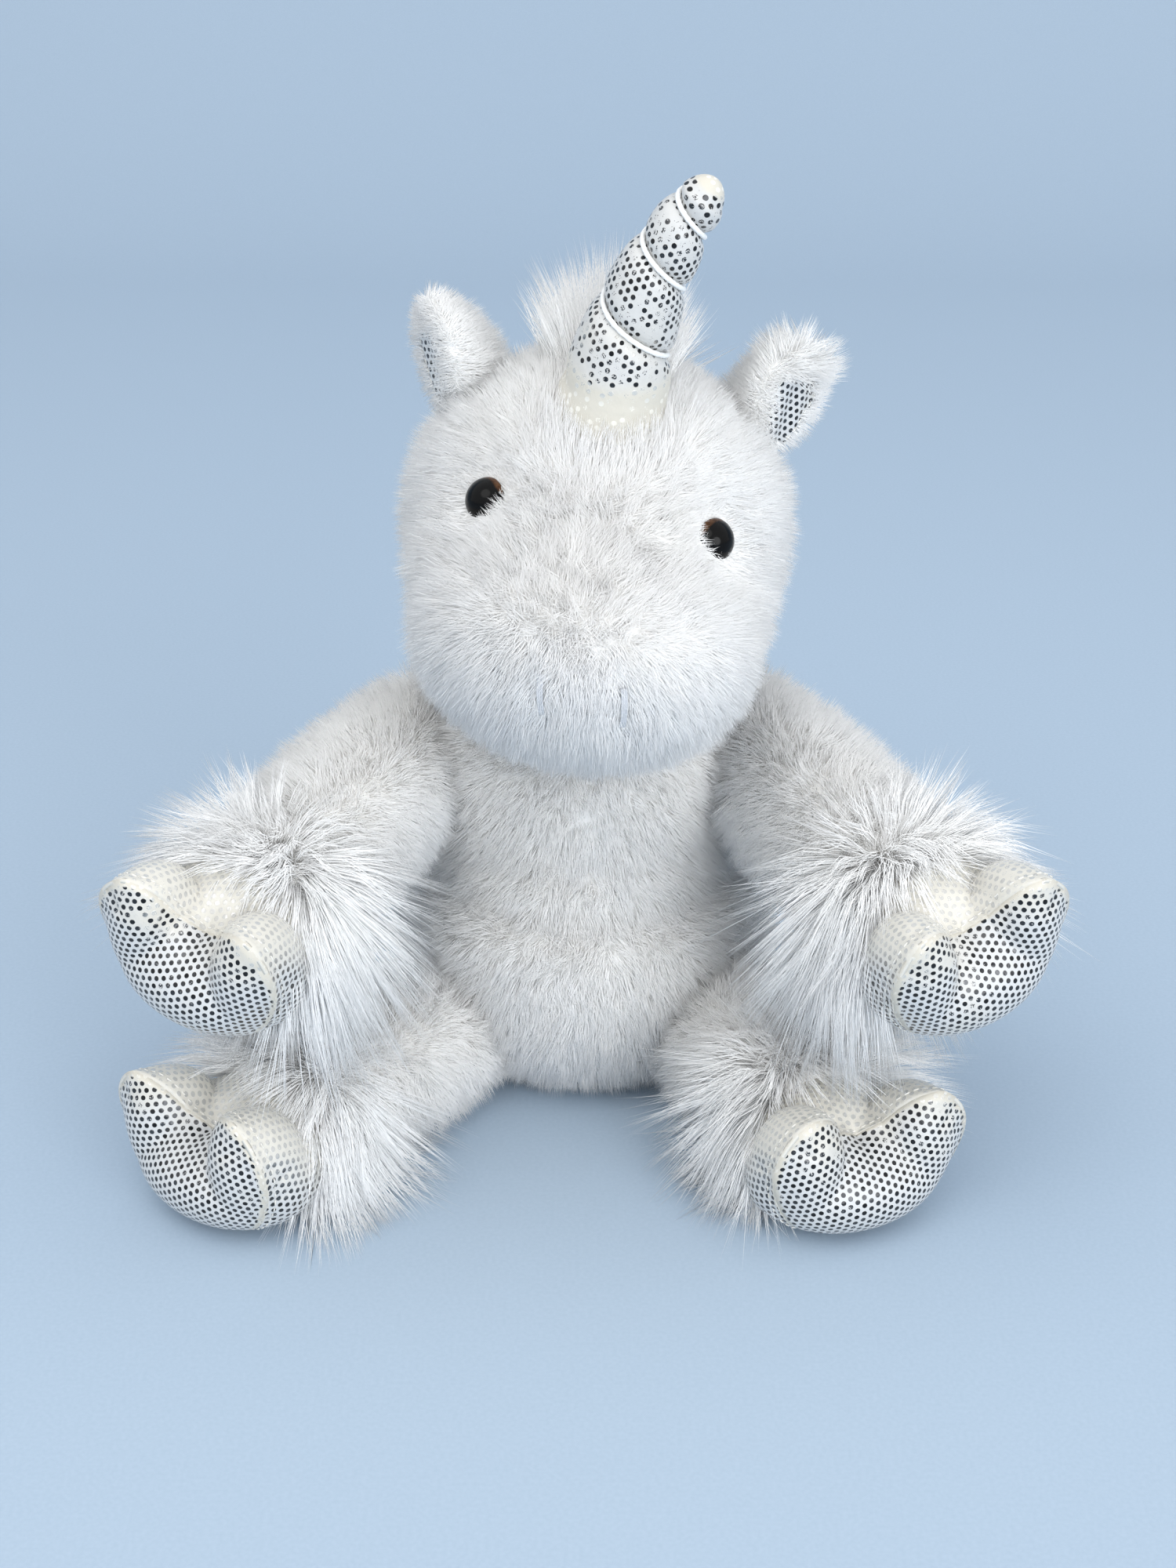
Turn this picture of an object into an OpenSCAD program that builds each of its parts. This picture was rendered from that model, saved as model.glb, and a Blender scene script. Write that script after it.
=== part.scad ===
// Plush unicorn, seated: a stuffed body, head and four limbs of long-pile plush,
// cloven hooves, ear linings and a wound horn of dotted satin, and safety eyes.
// Millimetres. +Z is up, the face looks along -Y and the seat rests at the origin.
// "left" and "right" are the toy's own sides: its left is +X.

/* [Fabrics] */
// Thickness of the plush: backing cloth with its standing pile
plush_t = 6; // [4:0.5:8]
// Thickness of the dotted satin
satin_t = 1.4; // [1:0.1:2]
// Gap between a cover and the filling behind it
fill_gap = 0.4; // [0.3:0.05:0.6]
// Gap between pieces that move against each other
joint_gap = 0.8; // [0.6:0.1:1.2]
// Gap between the root of a limb, an ear or the tail and what it is sewn to
root_gap = 0.3; // [0.3:0.05:0.8]

/* [Torso] */
// Width of the belly
belly_w = 108; // [96:1:116]
// Depth of the belly, front to back
belly_d = 98; // [88:1:106]
// Height of the belly's bulge
belly_h = 98; // [90:1:106]
// Width of the chest
chest_w = 98; // [90:1:104]
// Depth of the chest, front to back
chest_d = 84; // [76:1:92]
// Height of the chest's bulge
chest_h = 96; // [88:1:104]
// Height of the neck seam above the floor
neck_z = 113; // [108:1:118]
// Height of the pellet bag in the seat
pellet_bag_h = 24; // [16:1:30]

/* [Head] */
// Width of the skull
skull_w = 104; // [96:1:110]
// Depth of the skull, front to back
skull_d = 94; // [86:1:102]
// Height of the skull
skull_h = 90; // [84:1:96]
// Width of the muzzle
muzzle_w = 84; // [74:1:90]
// Depth of the muzzle's bulge, front to back
muzzle_d = 72; // [62:1:80]
// Height of the muzzle's bulge
muzzle_h = 60; // [52:1:66]
// How far the muzzle's middle lies in front of the skull's middle
muzzle_reach = 44; // [36:1:50]
// How far the muzzle's middle lies under the skull's middle
muzzle_drop = 21; // [18:1:26]
// Width of the neck
neck_w = 92; // [84:1:98]
// Depth of the neck, front to back
neck_d = 80; // [72:1:86]
// Height of the middle of the head above the neck seam
head_lift = 46; // [42:1:50]
// Sideways lean of the head, towards the toy's left
head_lean = 10; // [0:1:12]
// Sideways lean of the crown, on which the horn, the ears and the mane are sewn
crown_lean = 6; // [0:1:12]

/* [Eyes] */
// Diameter of an eye
eye_d = 12; // [10:0.5:15]
// Height of an eye's dome
eye_dome_h = 5; // [4:0.25:6]
// Diameter of an eye's shank
eye_shank_d = 4; // [3:0.5:5]
// Diameter of the locking washer behind an eye
washer_d = 14; // [12:0.5:16]
// Thickness of the locking washer
washer_t = 1.6; // [1.2:0.1:2]
// Angle of each eye from straight ahead, seen from above
eye_yaw = 44; // [36:1:48]
// Angle by which both eyes sit towards the toy's right
eye_shift = 2; // [0:1:4]
// Angle by which each eye is turned outward from the plush around it
eye_turn = 10; // [0:1:14]
// Angle of each eye above the head's middle
eye_rise = 17; // [12:1:22]

/* [Horn] */
// Length of the horn along its curve
horn_l = 61; // [52:1:70]
// Diameter of the horn at its root
horn_root_d = 27; // [22:0.5:29]
// Diameter of the horn under its tip
horn_tip_d = 10; // [8:0.5:13]
// Sideways bend of the horn from root to tip
horn_bend = 28; // [0:1:30]
// Sideways tilt of the horn at its root
horn_tilt = 4; // [0:1:10]
// Angle of the horn's root in front of the head's crown
horn_forward = 21; // [18:1:28]
// Diameter of the cord wound round the horn
cord_d = 1.6; // [1.2:0.1:2]
// Turns of the cord
cord_turns = 3; // [2.5:0.5:4]

/* [Ears] */
// Height of an ear
ear_h = 28; // [24:1:34]
// Width of an ear
ear_w = 30; // [24:1:34]
// Thickness of an ear's plush
ear_t = 12; // [9:0.5:13]
// Travel of an ear towards its lining
ear_flop_travel = 15; // [5:1:20]
// Travel of an ear away from its lining
ear_back_travel = 10; // [5:1:12]
// Angle of each ear from the crown towards its side
ear_side = 50; // [46:1:56]
// Angle of the left ear's opening from straight ahead
left_ear_yaw = 50; // [40:1:65]
// Angle of the right ear's opening from straight ahead
right_ear_yaw = 70; // [50:1:80]

/* [Mane and tail] */
// Width of the mane
mane_w = 32; // [24:1:36]
// Standing height of the mane at the crown
mane_h = 24; // [16:1:28]
// Length of the tail
tail_l = 46; // [36:1:56]
// Thickness of the tail
tail_d = 30; // [24:1:36]

/* [Limbs] */
// Diameter of a sleeve at its root
sleeve_root_d = 42; // [38:1:44]
// Diameter of a sleeve at the ankle
sleeve_ankle_d = 37; // [34:1:38]
// How far a sleeve swells between root and ankle, on its radius
sleeve_swell = 4; // [2:0.5:5]
// Length of an arm from the shoulder to the middle of its hoof
arm_l = 93; // [88:1:102]
// Length of a leg from the hip to the middle of its hoof
leg_l = 81; // [76:1:90]
// Angle of both arms from straight ahead
arm_yaw = 29; // [24:1:36]
// Angle by which both arms hang down
arm_drop = 12; // [6:1:13]
// Angle of the left leg from straight ahead
left_leg_yaw = 24; // [18:1:28]
// Angle of the right leg from straight ahead
right_leg_yaw = 41; // [34:1:46]
// Depth to which the left leg sits further into the seat than the right
left_leg_tuck = 11; // [0:1:14]
// Lift of an arm from rest
arm_travel = 30; // [20:1:36]
// Outward swing of a leg from rest
leg_out = 12; // [5:1:15]
// Inward swing of a leg from rest
leg_in = 10; // [5:1:12]
// Width that the long-pile cuff adds to a sleeve, on its radius
cuff_t = 13; // [8:0.5:15]
// Length of the cuff along the sleeve
cuff_l = 26; // [20:1:30]

/* [Hooves] */
// Width of a hoof
hoof_w = 50; // [46:0.5:54]
// Height of a hoof from heel to toes
hoof_h = 42; // [40:0.5:44]
// Depth of a hoof from ankle to sole
hoof_d = 40; // [36:0.5:44]
// Distance between the two toe tips
toe_gap = 28; // [25:0.5:30]
// Height of the toe tips over the hoof's middle
toe_h = 22.5; // [21:0.5:23]
// Outward roll of the arms' hooves
arm_hoof_roll = 16; // [0:1:24]

/* [Hidden] */

// Colours of the fabrics and fittings
plush_white = [0.97, 0.96, 0.94];
satin_silver = [0.84, 0.84, 0.80];
filling_white = [0.90, 0.90, 0.88];
eye_brown = [0.10, 0.06, 0.04];
washer_clear = [0.80, 0.80, 0.78];

// How sharply bulges blend into each other: a larger power is a sharper crease
blend_power = 8;
// A reach longer than anything on the toy
far = 1000;
// Half of the smallest slope that counts as facing a plane
level = 0.001;

// Points and directions
function unit(v) = v / norm(v);
function flatten(lists) = [for (list = lists) for (item = list) item];
function reversed(list) = [for (i = [len(list) - 1:-1:0]) list[i]];
function mean(points) = [for (k = [0:2]) [for (p = points) p[k]] * [for (p = points) 1] / len(points)];
function mix(a, b, share) = a + (b - a) * share;
function steps(from, to, count) = [for (i = [0:count]) mix(from, to, i / count)];

// A point turned about an axis through the origin by the right-hand rule
function turned(p, axis, angle) =
    p * cos(angle) + cross(axis, p) * sin(angle) + axis * (axis * p) * (1 - cos(angle));

// The frame of a limb or horn: its own sideways, upward and lengthwise directions
function frame_along(along) = let (side = unit(cross([0, 0, 1], along))) [side, cross(along, side), along];
function rolled(frame, angle) = [for (axis = frame) turned(axis, frame[2], angle)];
function in_frame(frame, p) = frame[0] * p.x + frame[1] * p.y + frame[2] * p.z;
function to_frame(frame, p) = [frame[0] * p, frame[1] * p, frame[2] * p];

// Children built along +Z, set at a point along a direction
module set_at(point, along) {
    f = frame_along(along);
    multmatrix([[f[0].x, f[1].x, f[2].x, point.x], [f[0].y, f[1].y, f[2].y, point.y],
        [f[0].z, f[1].z, f[2].z, point.z]]) children();
}

// Stuffed bulges: an ellipsoid is [middle, half sizes], and a form is several, seen from a point inside
function power_sum(values, i = 0) =
    i == len(values) ? 0 : pow(values[i], blend_power) + power_sum(values, i + 1);
function ellipsoid_reach(d, bulge, inset) =
    let (
        half = bulge[1] - [inset, inset, inset],
        slope = [d.x / half.x, d.y / half.y, d.z / half.z],
        middle = [bulge[0].x / half.x, bulge[0].y / half.y, bulge[0].z / half.z],
        a = slope * slope,
        b = slope * middle,
        k = b * b - a * (middle * middle - 1))
    k < 0 ? 0 : max(0, (b + sqrt(k)) / a);
function blended(reaches) = pow(power_sum(reaches), 1 / blend_power);
function reaches_of(d, bulges, inset) = [for (bulge = bulges) ellipsoid_reach(d, bulge, inset)];
function plane_reach(d, normal, distance) =
    let (slope = d * normal) slope > level ? distance / slope : far;

// Rings of points round a pole, at rising angles from it; reach(direction) is the distance to the surface
function polar_rings(middle, frame, angles, sides, reach) =
    [for (angle = angles) [for (j = [0:sides - 1])
        let (turn = 360 * j / sides,
            d = in_frame(frame, [sin(angle) * cos(turn), sin(angle) * sin(turn), cos(angle)]))
        middle + d * reach(d)]];

// A skin of triangles over rings of points, closed by a fan at each end, or round into itself.
// From the ring numbered turn_at on, each four-sided patch is split along its other diagonal, so that the
// inside of a cover is split as the filling behind it is.
module loft(rings, into_itself = false, turn_at = far) {
    sides = len(rings[0]);
    count = len(rings);
    spans = into_itself ? count : count - 1;
    walls = flatten([for (i = [0:spans - 1]) flatten([for (j = [0:sides - 1])
        let (a = i * sides, b = ((i + 1) % count) * sides, k = (j + 1) % sides)
        i < turn_at ? [[a + j, a + k, b + j], [a + k, b + k, b + j]]
                    : [[a + j, a + k, b + k], [a + j, b + k, b + j]]])]);
    first = [for (j = [0:sides - 1]) [count * sides, (j + 1) % sides, j]];
    last = [for (j = [0:sides - 1])
        [count * sides + 1, (count - 1) * sides + j, (count - 1) * sides + (j + 1) % sides]];
    points = flatten(rings);
    if (into_itself) polyhedron(points, walls);
    else polyhedron(concat(points, [mean(rings[0]), mean(rings[count - 1])]), concat(walls, first, last));
}

// A cup with a wall: the outside from its pole to the rim, then the inside back
module cup(outside, inside) { loft(concat(outside, reversed(inside)), turn_at = len(outside)); }
// A tube with a wall, open at both ends
module pipe(outside, inside) {
    loft(concat(outside, reversed(inside)), into_itself = true, turn_at = len(outside));
}

// Where a line of points, path(s), leaves a larger form: s is found by halving the span between low and high
function leaving(path, inside, low, high, tries = 14) =
    tries == 0 ? high :
    let (middle = (low + high) / 2)
    inside(path(middle)) ? leaving(path, inside, middle, high, tries - 1)
                         : leaving(path, inside, low, middle, tries - 1);
function start_outside(path, inside, low, high) = inside(path(low)) ? leaving(path, inside, low, high) : low;

// Torso: a belly and a chest, flat at the seat and at the neck seam
upright = [[1, 0, 0], [0, 1, 0], [0, 0, 1]];
upturned = [[1, 0, 0], [0, -1, 0], [0, 0, -1]];
// Depth of the flat that resting presses into the seat and the legs' hooves
seat_cut = 0.5;
// Depth to which the belly's bulge would sink through the floor if it were not flat there
belly_sink = 9;
// Distance of the middle of the chest's bulge under the neck seam
chest_under_neck = 21;
torso_middle = [0, 0, neck_z / 2];
torso_bulges = [
    [[0, -2, belly_h / 2 - belly_sink - torso_middle.z], [belly_w, belly_d, belly_h] / 2],
    [[0, 0, neck_z - chest_under_neck - torso_middle.z], [chest_w, chest_d, chest_h] / 2]];
function torso_reach(d, inset, low, high) = min(
    blended(reaches_of(d, torso_bulges, inset)),
    plane_reach(d, [0, 0, 1], high - torso_middle.z),
    plane_reach(d, [0, 0, -1], torso_middle.z - low));
function on_torso(d, rise = 0) = torso_middle + d * (torso_reach(d, 0, 0, neck_z) + rise);
function in_torso(p, gap) =
    let (out = p - torso_middle)
    norm(out) < torso_reach(unit(out), -gap, -gap, neck_z + gap);
torso_sides = 20;
torso_out_angles = [10, 22, 32, 43, 56, 70, 84, 98, 112, 126, 137, 143];
torso_in_angles = [12, 27, 34, 46, 62, 79, 96, 114, 130, 143];
function torso_rings(inset, low, high, angles) =
    polar_rings(torso_middle, upturned, angles, torso_sides, function (d) torso_reach(d, inset, low, high));

module torso_skin() {
    color(plush_white)
    difference() {
        cup(torso_rings(0, -seat_cut, neck_z, torso_out_angles),
            torso_rings(plush_t, plush_t, neck_z, torso_in_angles));
        translate([-belly_w, -belly_d, -belly_h]) cube([2 * belly_w, 2 * belly_d, belly_h]);
    }
}

bag_low = plush_t + 2 * fill_gap;
bag_top = bag_low + pellet_bag_h;
// The bag lies looser in the seat than the stuffing does
bag_ease = 2.5;
module torso_stuffing() {
    color(filling_white)
    loft(torso_rings(plush_t + fill_gap, bag_top + fill_gap, neck_z - fill_gap, concat(torso_in_angles, [160])));
}
module pellet_bag() {
    bag_middle = [0, 0, (bag_low + bag_top) / 2];
    bulges = [for (b = torso_bulges) [b[0] + torso_middle - bag_middle, b[1]]];
    reach = function (d) min(
        blended(reaches_of(d, bulges, plush_t + fill_gap + bag_ease)),
        plane_reach(d, [0, 0, 1], pellet_bag_h / 2),
        plane_reach(d, [0, 0, -1], pellet_bag_h / 2));
    color(filling_white) loft(polar_rings(bag_middle, upturned, [20, 58, 76, 92, 108, 124, 160], 14, reach));
}

// Head: a skull, a muzzle and a neck, flat at the neck seam
head_floor = neck_z + joint_gap;
head_middle = [3, -8, neck_z + head_lift];
head_frame = [for (axis = upright) turned(axis, [0, 1, 0], head_lean)];
crown_frame = [for (axis = upright) turned(axis, [0, 1, 0], crown_lean)];
skull_rise = 4;
neck_bulge_h = 68;
// Distance of the middle of the neck's bulge over the neck seam
neck_over_seam = 6;
head_bulges = [
    [[0, 4, skull_rise], [skull_w, skull_d, skull_h] / 2],
    [[0, 4 - muzzle_reach, skull_rise - muzzle_drop], [muzzle_w, muzzle_d, muzzle_h] / 2]];
neck_bulge = [[-head_middle.x, -head_middle.y, neck_over_seam - head_lift], [neck_w, neck_d, neck_bulge_h] / 2];
function head_reach(d, inset, low) = min(
    blended(concat(reaches_of(to_frame(head_frame, d), head_bulges, inset), reaches_of(d, [neck_bulge], inset))),
    plane_reach(d, [0, 0, -1], head_middle.z - low));
function on_head(d, rise = 0) = head_middle + d * (head_reach(d, 0, head_floor) + rise);
function in_head(p, gap) =
    let (out = p - head_middle)
    norm(out) < head_reach(unit(out), -gap, head_floor - gap);
// Directions from the head's middle in the leaning face and in the crown
function head_way(x, y, z) = unit(in_frame(head_frame, [x, y, z]));
function crown_way(x, y, z) = unit(in_frame(crown_frame, [x, y, z]));
// The way that the head's surface faces where a direction meets it
function head_normal(d) =
    let (f = frame_along(d), e = 0.02, u = on_head(unit(d + f[0] * e)) - on_head(unit(d - f[0] * e)),
        v = on_head(unit(d + f[1] * e)) - on_head(unit(d - f[1] * e)))
    unit(cross(u, v));
head_sides = 22;
head_out_angles = [9, 23, 37, 50, 63, 76, 89, 101, 112, 123, 134, 142];
head_in_angles = [11, 28, 45, 62, 79, 96, 112, 127, 142];
function head_rings(inset, low, angles) =
    polar_rings(head_middle, upright, angles, head_sides, function (d) head_reach(d, inset, low));

// Eyes: a dome on a shank, pushed through the plush and locked by a washer
eye_sides = [["left", 1], ["right", -1]];
function eye_way(side) =
    let (yaw = side * eye_yaw - eye_shift)
    head_way(sin(yaw) * cos(eye_rise), -cos(yaw) * cos(eye_rise), sin(eye_rise));
function eye_axis(side) = turned(head_normal(eye_way(side)), head_frame[2], side * eye_turn);
// Depth of the parted pile that an eye sits in, and of the backing that its washer grips
eye_sink = plush_t * 0.6;
washer_sink = plush_t * 0.95;
eye_ease = 0.4;
shank_end = washer_sink + washer_t + 2;
eye_fn = 48;

module head_skin() {
    color(plush_white)
    difference() {
        cup(head_rings(0, head_floor, head_out_angles), head_rings(plush_t, head_floor, head_in_angles));
        for (s = eye_sides) set_at(on_head(eye_way(s[1])), eye_axis(s[1])) {
            translate([0, 0, -eye_sink]) cylinder(h = 3 * plush_t, d = eye_d + 2 * eye_ease, $fn = eye_fn);
            translate([0, 0, -3 * plush_t])
                cylinder(h = 3 * plush_t, d = eye_shank_d + eye_ease, $fn = eye_fn);
            translate([0, 0, -washer_sink - 2 * plush_t])
                cylinder(h = 2 * plush_t, d = washer_d + 2 * eye_ease, $fn = eye_fn);
        }
        for (side = [-1, 1]) at_nostril(side)
            translate([-stitch_d / 2 - stitch_ease, -(stitch_l + stitch_d) / 2 - stitch_ease, -1.5 * stitch_d - stitch_ease])
                cube([stitch_d + 2 * stitch_ease, stitch_l + stitch_d + 2 * stitch_ease, 4 * stitch_d]);
    }
}
module head_stuffing() {
    color(filling_white)
    difference() {
        loft(head_rings(plush_t + fill_gap, head_floor + fill_gap, concat(head_in_angles, [160])));
        for (s = eye_sides) set_at(on_head(eye_way(s[1])), eye_axis(s[1]))
            translate([0, 0, -shank_end - eye_ease])
                cylinder(h = 4 * plush_t, d = washer_d + 2 * eye_ease, $fn = eye_fn);
    }
}
module eye(side) {
    ball_r = (eye_d * eye_d / 4 + eye_dome_h * eye_dome_h) / (2 * eye_dome_h);
    color(eye_brown)
    set_at(on_head(eye_way(side)), eye_axis(side)) {
        translate([0, 0, fill_gap - eye_sink]) intersection() {
            translate([0, 0, eye_dome_h - ball_r]) sphere(r = ball_r, $fn = eye_fn);
            cylinder(h = eye_dome_h + 1, d = 2 * eye_d, $fn = eye_fn);
        }
        translate([0, 0, -shank_end])
            cylinder(h = shank_end - eye_sink + fill_gap + 0.5, d = eye_shank_d, $fn = eye_fn);
    }
}
module eye_washer(side) {
    color(washer_clear)
    set_at(on_head(eye_way(side)), eye_axis(side))
        translate([0, 0, -washer_sink - fill_gap - washer_t])
        difference() {
            cylinder(h = washer_t, d = washer_d, $fn = eye_fn);
            translate([0, 0, -1]) cylinder(h = washer_t + 2, d = eye_shank_d + 0.1, $fn = eye_fn);
        }
}

// Nostrils: one short satin stitch on each side of the muzzle, drawn into its plush
stitch_d = 1.6;
stitch_l = 11;
stitch_ease = 0.3;
function nostril_way(side) = head_way(side * 10, -70, -19);
module at_nostril(side) { set_at(on_head(nostril_way(side)), head_normal(nostril_way(side))) children(); }
module nostril_stitches() {
    color(satin_silver)
    for (side = [-1, 1]) at_nostril(side) translate([0, 0, -stitch_d]) {
        translate([0, -stitch_l / 2, 0]) rotate([-90, 0, 0]) cylinder(h = stitch_l, d = stitch_d, $fn = 24);
        for (end = [-1, 1]) translate([0, end * stitch_l / 2, 0]) sphere(d = stitch_d, $fn = 24);
    }
}

// Horn: a bent cone of satin over stuffing, closed at the tip and trimmed to the head at its root
horn_way = crown_way(0, -sin(horn_forward), cos(horn_forward));
horn_root = on_head(horn_way);
horn_up = crown_way(0, -sin(horn_forward / 2), cos(horn_forward / 2));
horn_side = crown_frame[0];
horn_curve = max(horn_bend, 0.1);
horn_curve_r = horn_l / (horn_curve * PI / 180);
function horn_angle(s) = horn_tilt + horn_curve * s / horn_l;
function horn_spine(s) = horn_root
    + horn_side * horn_curve_r * (cos(horn_tilt) - cos(horn_angle(s)))
    + horn_up * horn_curve_r * (sin(horn_angle(s)) - sin(horn_tilt));
function horn_frame(s) =
    let (a = horn_angle(s), along = horn_side * sin(a) + horn_up * cos(a),
        across = horn_side * cos(a) - horn_up * sin(a))
    [across, cross(along, across), along];
// The tip is rounded over the last tenth of the length
function horn_radius(s) =
    let (share = s / horn_l, tip = max(0, share - 0.9) / 0.1)
    mix(horn_root_d, horn_tip_d, pow(max(share, 0), 0.95)) / 2 * sqrt(max(0, 1 - tip * tip));
function horn_point(s, turn, inset) =
    let (f = horn_frame(s)) horn_spine(s) + (f[0] * cos(turn) + f[1] * sin(turn)) * max(0.3, horn_radius(s) - inset);
horn_sides = 14;
horn_shares = [0.995, 0.975, 0.94, 0.88, 0.74, 0.58, 0.42, 0.26, 0.12, 0];
function horn_rings(inset, gap, share_of_r = 1, shares = horn_shares) =
    [for (share = shares) [for (j = [0:horn_sides - 1])
        let (turn = 360 * j / horn_sides,
            path = function (s) let (p = horn_point(s, turn, inset)) mix(horn_spine(s), p, share_of_r),
            start = start_outside(path, function (p) in_head(p, gap), -10, 20))
        path(mix(start, horn_l - inset, share))]];
module horn_cover() {
    color(satin_silver) cup(horn_rings(0, fill_gap), horn_rings(satin_t, fill_gap));
}
module horn_stuffing() {
    inset = satin_t + fill_gap;
    color(filling_white)
    loft(concat(horn_rings(inset, 2 * fill_gap), horn_rings(inset, 3 * fill_gap, 0.5, [0])));
}

// Cord: one unbroken length wound round the horn from root to tip
cord_from = 0.1;
cord_to = 0.9;
cord_sides = 6;
cord_rings_per_turn = 24;
// Where the winding starts, as a turn about the horn, and how much closer its turns lie towards the tip
cord_phase = 108;
cord_crowding = 0.4;
function cord_s(share) = horn_l * mix(cord_from, cord_to, share + cord_crowding * share * (1 - share));
function cord_middle(share) =
    horn_point(cord_s(share), cord_phase - 360 * cord_turns * share, -cord_d / 2 - fill_gap);
cord_steps = cord_turns * cord_rings_per_turn;
function cord_ring(i) =
    let (share = i / cord_steps, p = cord_middle(share),
        along = unit(cord_middle(share + 0.001) - cord_middle(share - 0.001)),
        out = unit(p - horn_spine(cord_s(share))),
        across = unit(cross(along, out)), up = cross(across, along))
    [for (j = [0:cord_sides - 1]) p + (up * cos(360 * j / cord_sides) + across * sin(360 * j / cord_sides)) * cord_d / 2];
// The ends run straight for one diameter
function cord_end(i, way) =
    let (share = i / cord_steps, along = unit(cord_middle(share + 0.001) - cord_middle(share - 0.001)))
    [for (p = cord_ring(i)) p + along * way * cord_d];
// Least distance between neighbouring turns, less the cord itself
cord_gap = min([for (i = [0:cord_steps - cord_rings_per_turn])
    min([for (k = [-6:6]) norm(cord_middle(i / cord_steps) - cord_middle((i + cord_rings_per_turn + k) / cord_steps))])])
    - cord_d;
module horn_cord() {
    echo(cord_gap = cord_gap);
    color(plush_white)
    loft(concat([cord_end(cord_steps, 1)], [for (i = [cord_steps:-1:0]) cord_ring(i)], [cord_end(0, -1)]));
}

// Ears: a curled leaf of plush with a satin lining on the side that faces out
ear_curl = 4;
ear_tilt = 17;
ear_sides = 12;
lining_t = satin_t;
lining_share = 0.74;
function ear_half_w(u) = ear_w / 2 * sqrt(sin(180 * (0.12 + 0.86 * u)));
function ear_half_t(u) = ear_t / 2 * (0.3 + 0.7 * sin(180 * (0.04 + 0.92 * u)));
function ear_bend(x) = -ear_curl * pow(2 * x / ear_w, 2);
// The ear's own sideways, backward and upward directions
function ear_frame(side) =
    let (up = crown_way(side * sin(ear_tilt), 0.1, cos(ear_tilt)),
        yaw = side > 0 ? left_ear_yaw : right_ear_yaw,
        face = [side * sin(yaw), -cos(yaw), 0], across = unit(cross(up, face)))
    [across, cross(up, across), up];
function ear_root(side) = on_head(crown_way(side * sin(ear_side), 0.16, cos(ear_side)), root_gap);
function ear_point(side, u, turn, width_share, half_t, front) =
    let (x = ear_half_w(u) * width_share * cos(turn))
    ear_root(side) + in_frame(ear_frame(side), [x, front(u) + half_t(u) * sin(turn) + ear_bend(x), ear_h * u]);
function ear_hits_head(side, p) =
    let (root = ear_root(side), axis = ear_frame(side)[0],
        hits = [for (a = steps(-ear_back_travel, ear_flop_travel, 3))
            if (in_head(root + turned(p - root, axis, a), root_gap)) 1])
    len(hits) > 0;
// Each line of points runs from where the ear is clear of the head, in all its travel, up to the tip
module ear_piece(side, shares, low, width_share, half_t, front) {
    loft([for (share = shares) [for (j = [0:ear_sides - 1])
        let (path = function (u) ear_point(side, u, 360 * j / ear_sides, width_share, half_t, front),
            start = start_outside(path, function (p) ear_hits_head(side, p), low, 0.6))
        path(mix(start, 1, share))]]);
}
module ear_back(side) {
    color(plush_white)
    ear_piece(side, [1, 0.92, 0.76, 0.54, 0.3, 0.1, 0], 0, 1, function (u) ear_half_t(u), function (u) 0);
}
module ear_lining(side) {
    color(satin_silver)
    ear_piece(side, [0.88, 0.76, 0.54, 0.3, 0.1, 0], 0.08, lining_share,
        function (u) lining_t / 2, function (u) -ear_half_t(u) - fill_gap - lining_t / 2);
}

// Mane: a strip of long pile from behind the horn down to the nape, bedded on the head
mane_shares = [-1, -0.55, 0, 0.55, 1];
function mane_ring(angle, height) =
    let (bed = [for (x = [1, 0, -1]) on_head(crown_way(x * mane_w / 92, sin(angle), cos(angle)), 1.4)],
        top = [for (x = mane_shares)
            on_head(crown_way(x * mane_w / 92, sin(angle), cos(angle)), 2.4 + height * sqrt(1 - 0.9 * x * x))])
    concat(top, bed);
module mane() {
    stations = [[-1, 0.5], [8, 0.9], [22, 1], [38, 0.95], [54, 0.85], [70, 0.75], [86, 0.65], [100, 0.55], [112, 0.3]];
    color(plush_white) loft(reversed([for (s = stations) mane_ring(s[0], mane_h * s[1])]));
}

// Tail: a tuft of long pile that hangs behind the seat
tail_way = unit([0, 1, -0.4]);
tail_drop = 42;
tail_root = on_torso(tail_way, 3 * root_gap);
module tail() {
    f = frame_along([0, cos(tail_drop), -sin(tail_drop)]);
    shares = [1, 0.95, 0.85, 0.68, 0.5, 0.32, 0.15, 0.04];
    color(plush_white)
    loft([for (u = shares) [for (j = [0:11])
        let (r = tail_d / 2 * pow(sin(180 * (0.05 + 0.9 * pow(u, 1.25))), 0.8))
        tail_root + in_frame(f, [r * cos(30 * j), r * sin(30 * j), tail_l * u])]]);
}

// Limbs: [name, side, is an arm]
LIMBS = [["left_arm", 1, true], ["right_arm", -1, true], ["left_leg", 1, false], ["right_leg", -1, false]];
hoof_heel = hoof_h - toe_h;
leg_z = hoof_heel - seat_cut;
hoof_back = hoof_d * 0.45;
// Height that parts the arms from the legs under them
limb_part_z = leg_z + toe_h + 2;
function limb_yaw(limb) = limb[2] ? arm_yaw : limb[1] > 0 ? left_leg_yaw : right_leg_yaw;
function limb_along(limb) = limb[2]
    ? [limb[1] * sin(arm_yaw) * cos(arm_drop), -cos(arm_yaw) * cos(arm_drop), -sin(arm_drop)]
    : [limb[1] * sin(limb_yaw(limb)), -cos(limb_yaw(limb)), 0];
function limb_length(limb) = limb[2] ? arm_l : leg_l;
function limb_pivot(limb) = limb[2]
    ? on_torso(unit([limb[1] * 42, -6, 33]))
    : let (p = on_torso(unit([limb[1] * 36, -24, leg_z - torso_middle.z])))
        [p.x, p.y, leg_z] - limb_along(limb) * (limb[1] > 0 ? left_leg_tuck : 0);
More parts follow.
